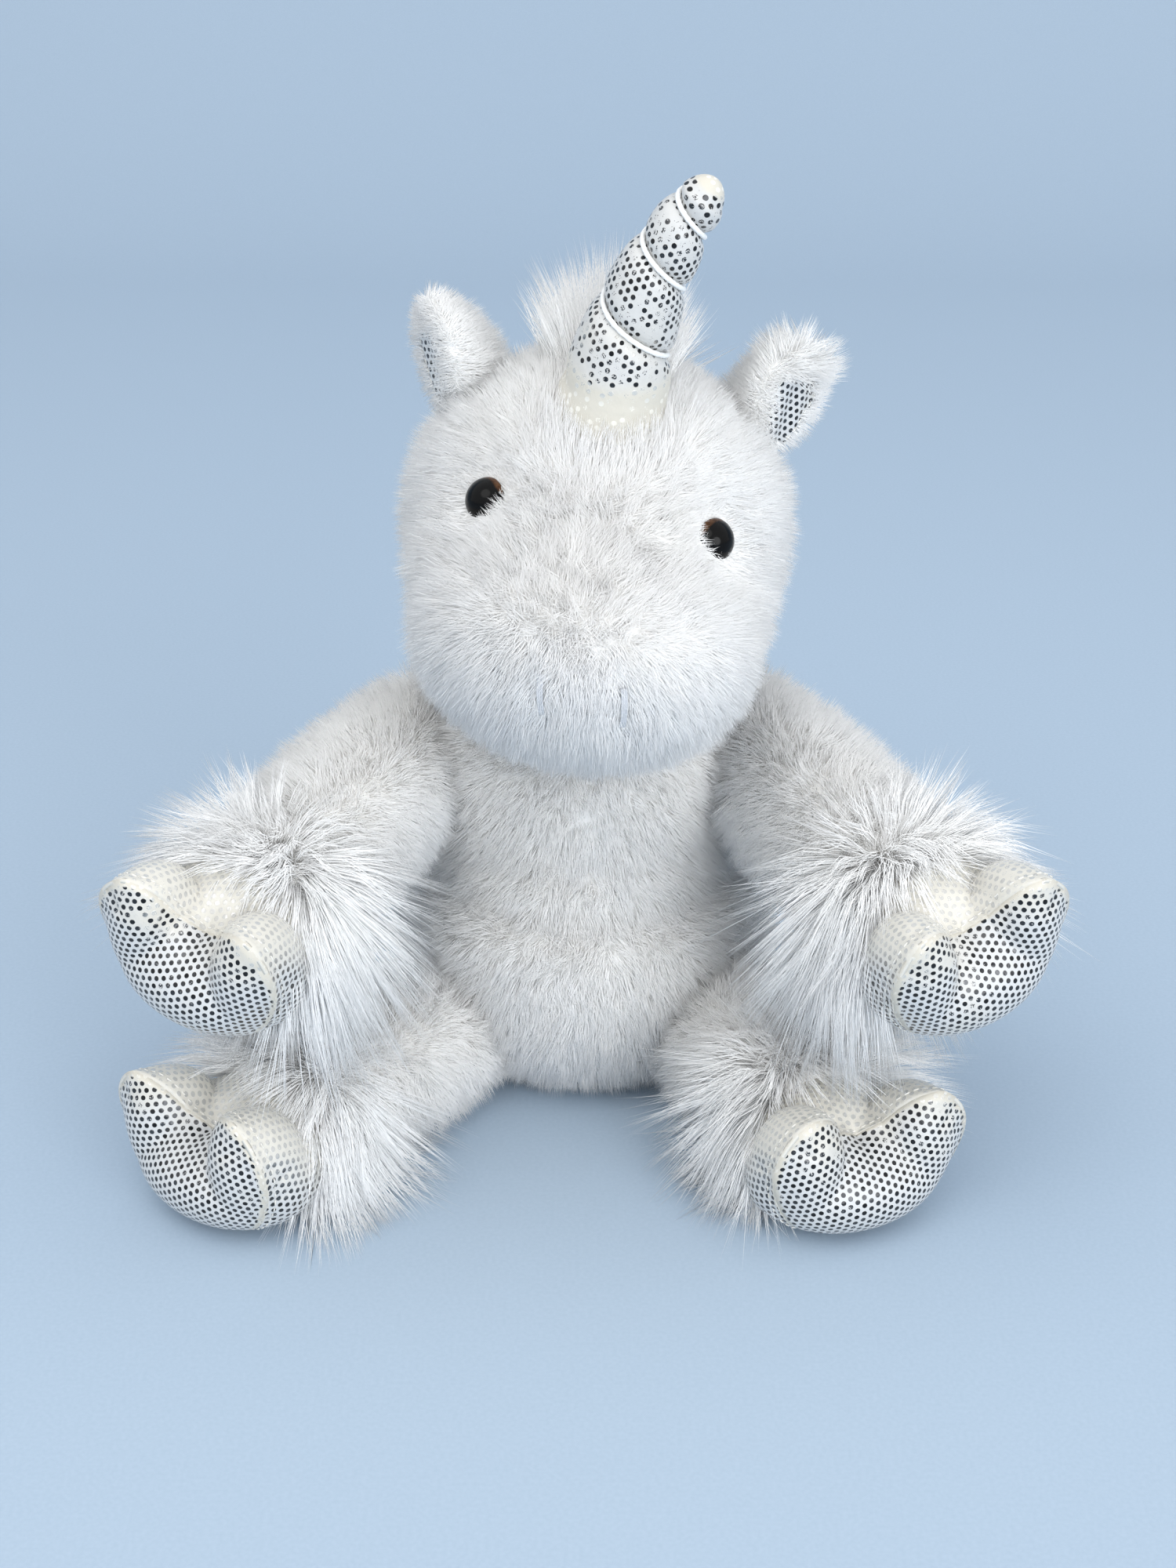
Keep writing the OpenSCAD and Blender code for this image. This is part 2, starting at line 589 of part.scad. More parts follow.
// An arm lifts about a level axis and a leg swings about an upright one
function limb_axis(limb) = limb[2] ? unit(cross(limb_along(limb), [0, 0, 1])) : [0, 0, limb[1]];
function limb_turns(limb) = limb[2] ? steps(0, arm_travel, 4) : steps(-leg_in, leg_out, 2);
// Room that the turning head needs beyond the gap
head_turn_room = 1.2;
function in_way(p, gap) = in_torso(p, gap) || in_head(p, gap + head_turn_room);
function ever_in_way(limb, p, gap) =
    let (pivot = limb_pivot(limb), axis = limb_axis(limb),
        hits = [for (a = limb_turns(limb)) if (in_way(pivot + turned(p - pivot, axis, a), gap)) 1])
    len(hits) > 0;
function limb_ankle(limb) = limb_length(limb) - hoof_back;
function sleeve_radius(limb, s) =
    let (u = s / limb_ankle(limb)) mix(sleeve_root_d, sleeve_ankle_d, u) / 2 + sleeve_swell * sin(180 * u);
// A leg is pressed flat along the floor, and its cuff lies under it there
cuff_under = 1.2;
function pressed(limb, inset, p) = limb[2] ? p : [p.x, p.y, max(p.z, seat_cut + 2 * cuff_under + inset)];
function sleeve_point(limb, s, turn, inset, share_of_r = 1) =
    let (f = frame_along(limb_along(limb)))
    pressed(limb, inset,
        limb_pivot(limb) + f[2] * s
            + (f[0] * cos(turn) + f[1] * sin(turn)) * (sleeve_radius(limb, s) - inset) * share_of_r);
sleeve_sides = 14;
// The arms cross the hollow between chest and belly, where they need more room
function limb_gap(limb) = limb[2] ? 3.5 * root_gap : root_gap;
root_back = -14;
root_front = 40;
function sleeve_rings(limb, inset, end_gap, shares, gap, share_of_r = 1) =
    let (starts = [for (j = [0:sleeve_sides - 1]) start_outside(
            function (s) sleeve_point(limb, s, 360 * j / sleeve_sides, inset, share_of_r),
            function (p) ever_in_way(limb, p, gap), root_back, root_front)])
    [for (share = shares) [for (j = [0:sleeve_sides - 1])
        sleeve_point(limb, mix(starts[j], limb_ankle(limb) - end_gap, share), 360 * j / sleeve_sides, inset, share_of_r)]];
sleeve_out_shares = [1, 0.8, 0.6, 0.4, 0.2, 0];
sleeve_in_shares = [1, 0.7, 0.4, 0.2, 0];
module sleeve(limb) {
    color(plush_white) pipe(
        sleeve_rings(limb, 0, fill_gap, sleeve_out_shares, limb_gap(limb)),
        sleeve_rings(limb, plush_t, fill_gap, sleeve_in_shares, limb_gap(limb)));
}
module sleeve_stuffing(limb) {
    inset = plush_t + fill_gap;
    color(filling_white)
    loft(concat(sleeve_rings(limb, inset, fill_gap, sleeve_in_shares, 2 * root_gap + limb_gap(limb)),
        sleeve_rings(limb, inset, fill_gap, [0], 3 * root_gap + limb_gap(limb), 0.5)));
}

// Cuff: a ring of long pile over the end of a sleeve, pressed flat where limbs or floor meet it
cuff_sides = 14;
function cuff_level(limb, p, low) = limb[2]
    ? [p.x, p.y, max(p.z, limb_part_z + joint_gap)]
    : [p.x, p.y, min(max(p.z, low), limb_part_z - joint_gap)];
module cuff(limb) {
    end = limb_ankle(limb);
    ease = 2 * fill_gap;
    f = frame_along(limb_along(limb));
    profile = [[-cuff_l, ease], [-cuff_l * 0.5, ease], [-fill_gap, ease], [4, cuff_t * 0.9],
        [-cuff_l * 0.12, cuff_t], [-cuff_l * 0.6, cuff_t * 0.55]];
    color(plush_white)
    loft([for (j = [0:cuff_sides - 1]) [for (k = reversed(profile))
        let (turn = 360 * j / cuff_sides)
        cuff_level(limb, limb_pivot(limb) + f[2] * (end + k[0])
            + (f[0] * cos(turn) + f[1] * sin(turn)) * (sleeve_radius(limb, end + min(0, k[0])) + k[1]),
            k[1] > ease ? seat_cut : seat_cut + cuff_under)]],
        into_itself = true);
}

// Hooves: a padded sole and upper of satin with two toes, flat at the ankle
hoof_sides = 16;
toe_low = toe_h * 0.4;
toe_half = [hoof_w * 0.2, toe_h * 0.6, hoof_d * 0.3];
// Distance of the toes in front of the hoof's middle
toe_front = hoof_d * 0.11;
// The body of the hoof stops short of the toe tips by the depth of the cleft
cleft_depth = 8;
hoof_body_half = (hoof_heel + toe_h - cleft_depth) / 2;
hoof_bulges = [
    [[0, hoof_body_half - hoof_heel, 0], [hoof_w / 2, hoof_body_half, hoof_d / 2]],
    [[toe_gap / 2, toe_low, toe_front], toe_half],
    [[-toe_gap / 2, toe_low, toe_front], toe_half],
    [[0, 0, -hoof_d * 0.25], [sleeve_ankle_d / 2, sleeve_ankle_d / 2, hoof_d * 0.4]]];
function hoof_middle(limb) = limb_pivot(limb) + limb_along(limb) * limb_length(limb);
function hoof_frame(limb) = rolled(frame_along(limb_along(limb)), limb[2] ? limb[1] * arm_hoof_roll : 0);
function hoof_reach(limb, d, inset) =
    let (f = hoof_frame(limb)) min(
        blended(reaches_of(to_frame(f, d), hoof_bulges, inset)),
        plane_reach(d, -f[2], hoof_back - (inset > satin_t ? fill_gap : 0)),
        limb[2] ? far : plane_reach(d, [0, 0, -1], leg_z - inset));
// Angles from the sole's middle of the seam that runs through the toes, and of the ankle's rim
hoof_seam = 78;
hoof_rim = 180 - atan(sleeve_ankle_d * 0.45 / hoof_back);
sole_out_angles = [10, 30, 54, hoof_seam - 0.6];
sole_in_angles = [14, 44, hoof_seam - 0.6];
upper_out_angles = [hoof_seam, 98, 117, hoof_rim];
upper_in_angles = [hoof_seam, 108, hoof_rim];
function hoof_rings(limb, inset, angles) =
    polar_rings(hoof_middle(limb), hoof_frame(limb), angles, hoof_sides, function (d) hoof_reach(limb, d, inset));
module hoof_sole(limb) {
    color(satin_silver) cup(hoof_rings(limb, 0, sole_out_angles), hoof_rings(limb, satin_t, sole_in_angles));
}
module hoof_upper(limb) {
    color(satin_silver) pipe(hoof_rings(limb, 0, upper_out_angles), hoof_rings(limb, satin_t, upper_in_angles));
}
module hoof_stuffing(limb) {
    color(filling_white)
    loft(hoof_rings(limb, satin_t + fill_gap, concat(sole_in_angles, upper_in_angles, [162])));
}

torso_skin();
torso_stuffing();
pellet_bag();
tail();
head_skin();
head_stuffing();
mane();
nostril_stitches();
horn_cover();
horn_stuffing();
horn_cord();
for (s = eye_sides) {
    eye(s[1]);
    eye_washer(s[1]);
    ear_back(s[1]);
    ear_lining(s[1]);
}
for (limb = LIMBS) {
    sleeve(limb);
    sleeve_stuffing(limb);
    cuff(limb);
    hoof_upper(limb);
    hoof_sole(limb);
    hoof_stuffing(limb);
}
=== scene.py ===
# %% [markdown]
# # A seated plush unicorn
# The toy is a stuffed white plush body with a head, two arms and two legs. Long silky pile
# fans out at each ankle, and the hooves, the ear linings and the horn are satin with foil dots.
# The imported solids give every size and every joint. This lesson dresses them: cloth skins,
# a coat of pile made of mesh strands, padded satin hooves, a wound horn and glossy eyes.

# %% Load the frame
import math

import bmesh
import bpy
import numpy as np
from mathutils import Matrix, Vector


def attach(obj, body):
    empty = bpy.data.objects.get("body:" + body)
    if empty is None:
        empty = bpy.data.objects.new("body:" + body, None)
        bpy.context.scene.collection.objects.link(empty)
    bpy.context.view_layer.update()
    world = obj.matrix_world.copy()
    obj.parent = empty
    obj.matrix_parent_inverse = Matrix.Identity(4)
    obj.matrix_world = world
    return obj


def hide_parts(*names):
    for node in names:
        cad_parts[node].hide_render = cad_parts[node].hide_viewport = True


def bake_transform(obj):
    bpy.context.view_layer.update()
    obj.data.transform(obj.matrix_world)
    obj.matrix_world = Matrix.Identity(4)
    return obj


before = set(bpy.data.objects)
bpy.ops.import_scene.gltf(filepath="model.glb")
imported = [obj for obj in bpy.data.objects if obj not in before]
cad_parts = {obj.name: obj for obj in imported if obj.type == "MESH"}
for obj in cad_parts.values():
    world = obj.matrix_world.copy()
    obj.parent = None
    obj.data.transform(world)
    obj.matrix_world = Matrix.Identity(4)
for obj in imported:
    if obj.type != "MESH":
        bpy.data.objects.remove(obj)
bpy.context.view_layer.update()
scene = bpy.context.scene
MM = 0.001

# %% [markdown]
# ## Camera
# The toy is seen from straight ahead and a little above. The camera could be placed by eye, but a
# point to look at, a distance and an angle of rise say the same in three values that are easy to
# change. The lens is shifted a little, because the toy isn't in the middle of its picture.

# %% Camera
CAMERA_FAR, CAMERA_RISE = 0.62, math.radians(22)
lens = bpy.data.cameras.new("photo_camera")
lens.sensor_fit = "VERTICAL"
lens.angle = math.radians(37.5)
lens.shift_x, lens.shift_y = 0.0025, -0.0475
camera = bpy.data.objects.new("photo_camera", lens)
scene.collection.objects.link(camera)
looked_at = Vector((0, -0.025, 0.115))
camera.location = looked_at + CAMERA_FAR * Vector((0, -math.cos(CAMERA_RISE), math.sin(CAMERA_RISE)))
camera.rotation_euler = (looked_at - camera.location).to_track_quat("-Z", "Y").to_euler()
scene.camera = camera
print("camera at", [round(c, 3) for c in camera.location], "m")

# %% [markdown]
# ## Helpers
# A few short functions are used all through the lesson. Some make a mesh object from arrays of
# points, and some add a node to a tree and set or link its inputs. They keep each later cell down to
# what is special about its piece or finish.


# %% Helpers for meshes and node trees
def mesh_object(name, points, faces):
    """A smooth mesh object at the origin, from points in metres."""
    mesh = bpy.data.meshes.new(name)
    mesh.from_pydata([tuple(p) for p in np.asarray(points, float)], [], [tuple(f) for f in faces])
    mesh.update()
    mesh.shade_smooth()
    piece = bpy.data.objects.new(name, mesh)
    scene.collection.objects.link(piece)
    return piece


def worked_in(piece, tool, keep_layers=True):
    """The mesh that a modifier makes of a piece. The modifier is then removed."""
    graph = bpy.context.evaluated_depsgraph_get()
    mesh = bpy.data.meshes.new_from_object(piece.evaluated_get(graph), depsgraph=graph,
                                           preserve_all_data_layers=keep_layers)
    piece.modifiers.remove(tool)
    return mesh


def store(piece, title, values):
    """Puts one number for each point of a piece into a named attribute."""
    layer = piece.data.attributes.new(title, "FLOAT", "POINT")
    layer.data.foreach_set("value", np.asarray(values, np.float32))


def feed(tree, socket, value):
    """Links a socket to another one, or sets its value."""
    if isinstance(value, bpy.types.NodeSocket):
        tree.links.new(value, socket)
    else:
        socket.default_value = value


def add_node(tree, kind, inputs=None, **settings):
    """One node of a tree, with its settings, and its inputs set or linked by name or place."""
    made = tree.nodes.new(kind)
    for key, value in settings.items():
        setattr(made, key, value)
    for key, value in (inputs or {}).items():
        feed(tree, made.inputs[key], value)
    return made


def maths(tree, operation, a, b=0.0, c=0.0):
    return add_node(tree, "ShaderNodeMath", {0: a, 1: b, 2: c}, operation=operation).outputs[0]


def vector_maths(tree, operation, a, b=(0, 0, 0)):
    second = "Scale" if operation == "SCALE" else 1
    made = add_node(tree, "ShaderNodeVectorMath", {0: a, second: b}, operation=operation)
    return made.outputs["Value" if operation in ("LENGTH", "DOT_PRODUCT") else "Vector"]


def span(tree, value, low, high, first=0.0, last=1.0):
    """A number that goes from first to last as value goes from low to high."""
    inputs = {0: value, 1: low, 2: high, 3: first, 4: last}
    return add_node(tree, "ShaderNodeMapRange", inputs, clamp=True).outputs[0]


def ramp(tree, value, low, high, colour_low, colour_high):
    """A colour that goes from one to another as value goes from low to high."""
    mixer = add_node(tree, "ShaderNodeMix", {0: span(tree, value, low, high)}, data_type="RGBA")
    for socket, colour in ((mixer.inputs[6], colour_low), (mixer.inputs[7], colour_high)):
        feed(tree, socket, colour if isinstance(colour, bpy.types.NodeSocket) else (*colour, 1))
    return mixer.outputs[2]


# %% Helpers for materials
def new_material(name):
    """An empty material with its Principled shader."""
    material = bpy.data.materials.new(name)
    material.use_nodes = True
    return material, material.node_tree, material.node_tree.nodes["Principled BSDF"]


def set_shader(tree, shader, **inputs):
    """Sets or links a shader's inputs. A _ stands for a space in an input's name."""
    for title, value in inputs.items():
        feed(tree, shader.inputs[title.replace("_", " ")], value)


def on_object(tree):
    return add_node(tree, "ShaderNodeTexCoord").outputs["Object"]


def attribute(tree, title):
    return add_node(tree, "ShaderNodeAttribute", attribute_name=title).outputs["Fac"]


def noise(tree, scale, detail=2.0, place=None):
    """Noise at a number of cells in each metre, on the piece's own coordinates unless others are given."""
    place = on_object(tree) if place is None else place
    inputs = {"Vector": place, "Scale": scale, "Detail": detail}
    return add_node(tree, "ShaderNodeTexNoise", inputs).outputs["Fac"]


def bumped(tree, height, strength, distance):
    inputs = {"Height": height, "Strength": strength, "Distance": distance}
    return add_node(tree, "ShaderNodeBump", inputs).outputs[0]


def grained(name, scale, colour_low, colour_high, detail=2.0):
    """A material whose colour drifts with a fine noise, with its tree, its shader and that noise."""
    material, tree, shader = new_material(name)
    grain = noise(tree, scale, detail)
    set_shader(tree, shader, Base_Color=ramp(tree, grain, 0.3, 0.7, colour_low, colour_high))
    return material, tree, shader, grain


def node_group(name, kind, inputs, outputs):
    """A node group with named inputs and outputs: the tree, its inputs' identifiers and what they hold."""
    tree = bpy.data.node_groups.new(name, kind)
    sockets = {}
    for title, holds, value in inputs:
        socket = tree.interface.new_socket(title, in_out="INPUT", socket_type="NodeSocket" + holds)
        if value is not None:
            socket.default_value = value
        sockets[title] = socket.identifier
    for title, holds in outputs:
        tree.interface.new_socket(title, in_out="OUTPUT", socket_type="NodeSocket" + holds)
    return tree, sockets, tree.nodes.new("NodeGroupInput").outputs

# %% [markdown]
# ## Floor and light
# The toy sits on one seamless sheet of pale paper. It curves up behind the toy, so floor and backdrop
# meet without a line. A weak soft lamp above and a wide one in front, off to one side, light the white
# pile without burning it out. Light goes from fibre to fibre many times in a white coat, so more
# diffuse bounces are traced than usual.

# %% Paper floor and backdrop
PAPER_FRONT, PAPER_SIDE, PAPER_TOP = -14.0, 12.0, 2.6
CURVE_Y, CURVE_R = 1.1, 0.9
paper, tree, shader, _ = grained("pale_paper", 900.0, (0.39, 0.49, 0.60), (0.42, 0.52, 0.63), detail=3.0)
set_shader(tree, shader, Roughness=0.9)
curve = [(CURVE_Y + CURVE_R * math.sin(a), CURVE_R - CURVE_R * math.cos(a))
         for a in np.linspace(0, math.pi / 2, 24)]
profile = [(PAPER_FRONT, 0.0), *curve, (CURVE_Y + CURVE_R, PAPER_TOP)]
floor = mesh_object("paper_floor",
                    [(x, y, z) for y, z in profile for x in (-PAPER_SIDE, PAPER_SIDE)],
                    [(2 * i, 2 * i + 1, 2 * i + 3, 2 * i + 2) for i in range(len(profile) - 1)])
floor.data.materials.append(paper)
print("paper floor with", len(floor.data.polygons), "faces")

# %% Studio light
world = bpy.data.worlds.new("studio")
world.use_nodes = True
scene.world = world
tree = world.node_tree
sky_way = add_node(tree, "ShaderNodeTexCoord").outputs["Generated"]
height = add_node(tree, "ShaderNodeSeparateXYZ", {0: sky_way}).outputs["Z"]
sky = ramp(tree, height, -0.1, 0.75, (0.72, 0.75, 0.79), (0.95, 0.975, 1.0))
set_shader(tree, tree.nodes["Background"], Color=sky, Strength=1.12)


def soft_lamp(name, place, aim, size, watts, colour):
    lamp = bpy.data.lights.new(name, "AREA")
    lamp.shape, lamp.size, lamp.energy, lamp.color = "DISK", size, watts, colour
    made = bpy.data.objects.new(name, lamp)
    scene.collection.objects.link(made)
    made.location = place
    made.rotation_euler = (Vector(aim) - Vector(place)).to_track_quat("-Z", "Y").to_euler()


soft_lamp("upper_softbox", place=(-0.35, -0.80, 1.20), aim=(0, -0.02, 0.12), size=1.0, watts=4.5,
          colour=(1.0, 0.985, 0.96))
soft_lamp("front_softbox", place=(1.20, -2.30, 0.78), aim=(0, 0, 0.12), size=1.8, watts=36.0,
          colour=(0.97, 0.985, 1.0))
scene.cycles.diffuse_bounces = 24
scene.cycles.max_bounces = 28
scene.view_settings.view_transform = "Standard"
print("light: two lamps and a pale sky")

# %% [markdown]
# ## Forms of the stuffed parts
# Each stuffed part is a few swollen bulges that run into each other, seen from a point inside.
# The same rule that shaped the solids is written here again with arrays, so that a skin can be
# laid at any depth under the tips of the pile, as finely as the coat needs.


# %% Bulges
def unit(v):
    v = np.asarray(v, float)
    return v / np.maximum(np.linalg.norm(v, axis=-1, keepdims=True), 1e-9)


def turned(p, axis, degrees):
    """Points turned about an axis through the origin."""
    p, axis, a = np.asarray(p, float), np.asarray(axis, float), np.radians(degrees)
    along = (p @ axis)[..., None] * axis
    return p * np.cos(a) + np.cross(axis, p) * np.sin(a) + along * (1 - np.cos(a))


def full_turn(sides):
    return np.linspace(0, 2 * np.pi, sides, endpoint=False)


def smoothstep(value, low, high):
    t = np.clip((value - low) / (high - low), 0, 1)
    return t * t * (3 - 2 * t)


def frame_along(along):
    """Three axes, with the last one along a direction."""
    side = unit(np.cross([0, 0, 1], along))
    return np.array([side, np.cross(along, side), along])


def bulge_reach(d, middle, half, inset):
    """How far a swollen ball reaches in each direction from the origin."""
    half = np.asarray(half, float) - inset
    slope, centre = d / half, np.asarray(middle, float) / half
    a, b = (slope * slope).sum(-1), slope @ centre
    k = b * b - a * (centre @ centre - 1)
    return np.where(k < 0, 0, np.maximum(0, (b + np.sqrt(np.maximum(k, 0))) / a))


def blended(reaches, power=8):
    """Several reaches run into one. A higher power gives a sharper fold between them."""
    return (np.array(reaches) ** power).sum(0) ** (1 / power)


def plane_reach(d, normal, distance):
    slope = d @ np.asarray(normal, float)
    return np.where(slope > 0.001, distance / np.maximum(slope, 0.001), 1000)

# %% Torso and head, in millimetres as in the solids
NECK_Z = 113.0
TORSO_MIDDLE = np.array([0, 0, NECK_Z / 2])
TORSO_BULGES = [((0, -2, 40 - NECK_Z / 2), (54, 49, 49)), ((0, 0, 92 - NECK_Z / 2), (49, 42, 48))]
HEAD_MIDDLE = np.array([3.0, -8.0, NECK_Z + 46])
HEAD_FRAME = turned(np.eye(3), np.array([0, 1.0, 0]), 10)
CROWN_FRAME = turned(np.eye(3), np.array([0, 1.0, 0]), 6)
HEAD_BULGES = [((0, 4, 4), (52, 47, 45)), ((0, -40, -17), (42, 36, 30))]
NECK_BULGE = ((-3, 8, -40), (46, 40, 34))


def torso_reach(d, inset=0.0, low=0.0, high=NECK_Z):
    return np.minimum.reduce([blended([bulge_reach(d, m, h, inset) for m, h in TORSO_BULGES]),
                              plane_reach(d, (0, 0, 1), high - TORSO_MIDDLE[2]),
                              plane_reach(d, (0, 0, -1), TORSO_MIDDLE[2] - low)])


def head_reach(d, inset=0.0, low=NECK_Z + 0.8, power=8):
    own = d @ HEAD_FRAME.T
    return np.minimum(blended([bulge_reach(own, m, h, inset) for m, h in HEAD_BULGES]
                              + [bulge_reach(d, *NECK_BULGE, inset)], power),
                      plane_reach(d, (0, 0, -1), HEAD_MIDDLE[2] - low))


def depth_in_torso(p, inset):
    """How far points lie under the torso's surface, along the line from its middle, seat not cut flat."""
    out = p - TORSO_MIDDLE
    far = np.linalg.norm(out, axis=-1)
    return torso_reach(out / far[..., None], inset, low=-50.0) - far


def head_way(x, y, z):
    return unit(np.array([x, y, z], float) @ HEAD_FRAME)


def crown_way(x, y, z):
    return unit(np.array([x, y, z], float) @ CROWN_FRAME)


def on_head(d):
    d = np.asarray(d, float)
    return HEAD_MIDDLE + d * head_reach(d)[..., None]


def head_normal(d):
    f, e = frame_along(d), 0.02
    u = on_head(unit(d + f[0] * e)) - on_head(unit(d - f[0] * e))
    v = on_head(unit(d + f[1] * e)) - on_head(unit(d - f[1] * e))
    return unit(np.cross(u, v))


def ball_ways(level):
    """Even directions all round, and the triangles between them."""
    ball = bmesh.new()
    bmesh.ops.create_icosphere(ball, subdivisions=level, radius=1)
    ways = np.array([v.co for v in ball.verts], float)
    faces = [tuple(v.index for v in f.verts) for f in ball.faces]
    ball.free()
    return unit(ways), faces

# %% Where the eyes sit
EYES = {}
for side, sign in (("left", 1), ("right", -1)):
    yaw, rise = math.radians(44 * sign - 2), math.radians(17)
    way = head_way(math.sin(yaw) * math.cos(rise), -math.cos(yaw) * math.cos(rise), math.sin(rise))
    EYES[side] = (on_head(way), turned(head_normal(way), HEAD_FRAME[2], 10 * sign))
print("eyes at", {s: np.round(p).tolist() for s, (p, _) in EYES.items()})

# %% [markdown]
# ## White pile
# The coat is knitted plush: a backing cloth with a standing pile of fine white fibres that
# cling together in small tufts. Particle hair doesn't survive an export, so each fibre here is
# a slim closed spike of mesh. One tuft is a handful of spikes that lean together, and Geometry
# Nodes plants thousands of tufts on a skin. The fibres take their shading from the skin under
# them, mixed with their own, which is what makes a mass of thin white fibres look soft.

# %% Pile material
pile_material, tree, shader = new_material("white_pile")
tint = attribute(tree, "tint")
fibre = ramp(tree, tint, 0.0, 1.0, (0.975, 0.972, 0.968), (0.995, 0.995, 0.993))
cream = ramp(tree, noise(tree, 26.0), 0.42, 0.62, fibre, (0.990, 0.984, 0.972))
# The fibres are a little darker at the roots than at the tips, painted shade deep in the pile.
set_shader(tree, shader, Sheen_Weight=0.35, Sheen_Roughness=0.4, Specular_IOR_Level=0.25,
           Base_Color=ramp(tree, attribute(tree, "height"), 0.0, 0.55, (0.965, 0.96, 0.95), cream),
           Roughness=maths(tree, "MULTIPLY_ADD", tint, 0.2, 0.55))

# %% Backing cloth material
backing, tree, shader = new_material("plush_backing")
knit = add_node(tree, "ShaderNodeTexVoronoi", {"Vector": on_object(tree), "Scale": 900.0}).outputs["Distance"]
set_shader(tree, shader, Roughness=0.85, Sheen_Weight=0.3, Normal=bumped(tree, knit, 0.4, 0.0004),
           Base_Color=ramp(tree, knit, 0.0, 0.6, (0.98, 0.975, 0.965), (0.95, 0.94, 0.92)))
print("finishes:", pile_material.name, backing.name)

# %% Tufts
GOLDEN_TURN, THIRD_TURN, TUFT_KINDS = 2.4, 2.0944, 5


def tuft_mesh(name, fibres, root_spread, tip_spread, gather, width, rings, seed, shortest=0.72):
    """Closed three-sided spikes, one unit high and in metres across, with each point's height."""
    rng = np.random.default_rng(seed)
    points, faces, heights = [], [], []
    for i in range(fibres):
        way = np.array([math.cos(GOLDEN_TURN * i), math.sin(GOLDEN_TURN * i)])
        root = root_spread * math.sqrt((i + 0.5) / fibres) * way
        tip = tip_spread * rng.normal(size=2) + root * (1 - gather)
        top = rng.uniform(shortest, 1.0)
        turn = rng.uniform(0, 6.28)
        thick = width * rng.uniform(0.8, 1.15)
        first = len(points)
        for k in range(rings):
            share = k / rings
            middle, r = root + (tip - root) * share ** 1.3, thick * (1 - 0.55 * share)
            for j in range(3):
                a = turn + THIRD_TURN * j
                points.append((middle[0] + r * math.cos(a), middle[1] + r * math.sin(a), top * share))
                heights.append(top * share)
            if k:
                a, b = first + 3 * (k - 1), first + 3 * k
                for j in range(3):
                    faces += [(a + j, a + (j + 1) % 3, b + (j + 1) % 3), (a + j, b + (j + 1) % 3, b + j)]
        points.append((tip[0], tip[1], top))
        heights.append(top)
        a, end = first + 3 * (rings - 1), len(points) - 1
        faces += [(a, a + 1, end), (a + 1, a + 2, end), (a + 2, a, end), (first + 2, first + 1, first)]
    made = mesh_object(name, points, faces)
    store(made, "height", heights)
    return made


def tuft_set(name, **sizes):
    """A few different tufts in a collection that isn't shown."""
    group = bpy.data.collections.new(name)
    for i in range(TUFT_KINDS):
        made = tuft_mesh(f"{name}_{i}", seed=i, **sizes)
        scene.collection.objects.unlink(made)
        group.objects.link(made)
    return group


short_tufts = tuft_set("short_tufts", fibres=14, root_spread=0.0016, tip_spread=0.0007, gather=0.2,
                       width=0.00016, rings=1)
long_tufts = tuft_set("long_tufts", fibres=5, root_spread=0.0010, tip_spread=0.0010, gather=0.3,
                      width=0.00016, rings=2, shortest=0.7)


# %% How a tuft is turned
def named(tree, title, kind="FLOAT"):
    """An attribute of the skin or of the tufts."""
    made = add_node(tree, "GeometryNodeInputNamedAttribute", {"Name": title}, data_type=kind)
    return made.outputs["Attribute"]


def chance(tree, given, low, high, seed, kind="FLOAT"):
    """A random value for each tuft. The coat's own seed is added to this one."""
    made = add_node(tree, "FunctionNodeRandomValue", data_type=kind)
    low_in, high_in = [s for s in made.inputs if s.name in ("Min", "Max") and s.enabled]
    low_in.default_value, high_in.default_value = low, high
    feed(tree, made.inputs["Seed"], maths(tree, "ADD", given["Seed"], float(seed)))
    return next(o for o in made.outputs if o.enabled)


def pushed(tree, vector, way, share):
    """A vector with a share of another added to it."""
    return vector_maths(tree, "ADD", vector, vector_maths(tree, "SCALE", way, share))


def tuft_turn(tree, given, place, normal):
    """A tuft stands up from the skin, is combed, leans with its neighbours and strays a little."""
    way = pushed(tree, normal, named(tree, "comb", "FLOAT_VECTOR"), given["Comb"])
    inputs = {"Vector": place, "Scale": given["Clump Scale"], "Detail": 1.0}
    swirl = add_node(tree, "ShaderNodeTexNoise", inputs).outputs["Color"]
    swirl = vector_maths(tree, "SUBTRACT", swirl, (0.5, 0.5, 0.5))
    way = pushed(tree, way, swirl, maths(tree, "MULTIPLY", given["Clump"], 2.4))
    stray = chance(tree, given, (-1, -1, -1), (1, 1, 1), 11, "FLOAT_VECTOR")
    way = pushed(tree, way, stray, given["Stray"])
    turn = add_node(tree, "FunctionNodeAlignRotationToVector", {"Vector": way}, axis="Z")
    spin = add_node(tree, "FunctionNodeAxisAngleToRotation",
                    {"Axis": (0, 0, 1), "Angle": chance(tree, given, 0.0, 6.283, 12)})
    inputs = {0: turn.outputs[0], 1: spin.outputs[0]}
    return add_node(tree, "FunctionNodeRotateRotation", inputs, rotation_space="LOCAL").outputs[0]


# %% How long a tuft is, and how its fibres hang
def tuft_length(tree, given, place):
    """The skin's own share of the coat's length, uneven in patches and by chance."""
    patch = maths(tree, "SUBTRACT", noise(tree, 160.0, 1.0, place), 0.5)
    patch = maths(tree, "MULTIPLY_ADD", patch, given["Uneven"], 1.0)
    length = maths(tree, "MULTIPLY", given["Length"], named(tree, "pile"))
    length = maths(tree, "MULTIPLY", length, patch)
    return maths(tree, "MULTIPLY", length, chance(tree, given, 0.88, 1.12, 13))


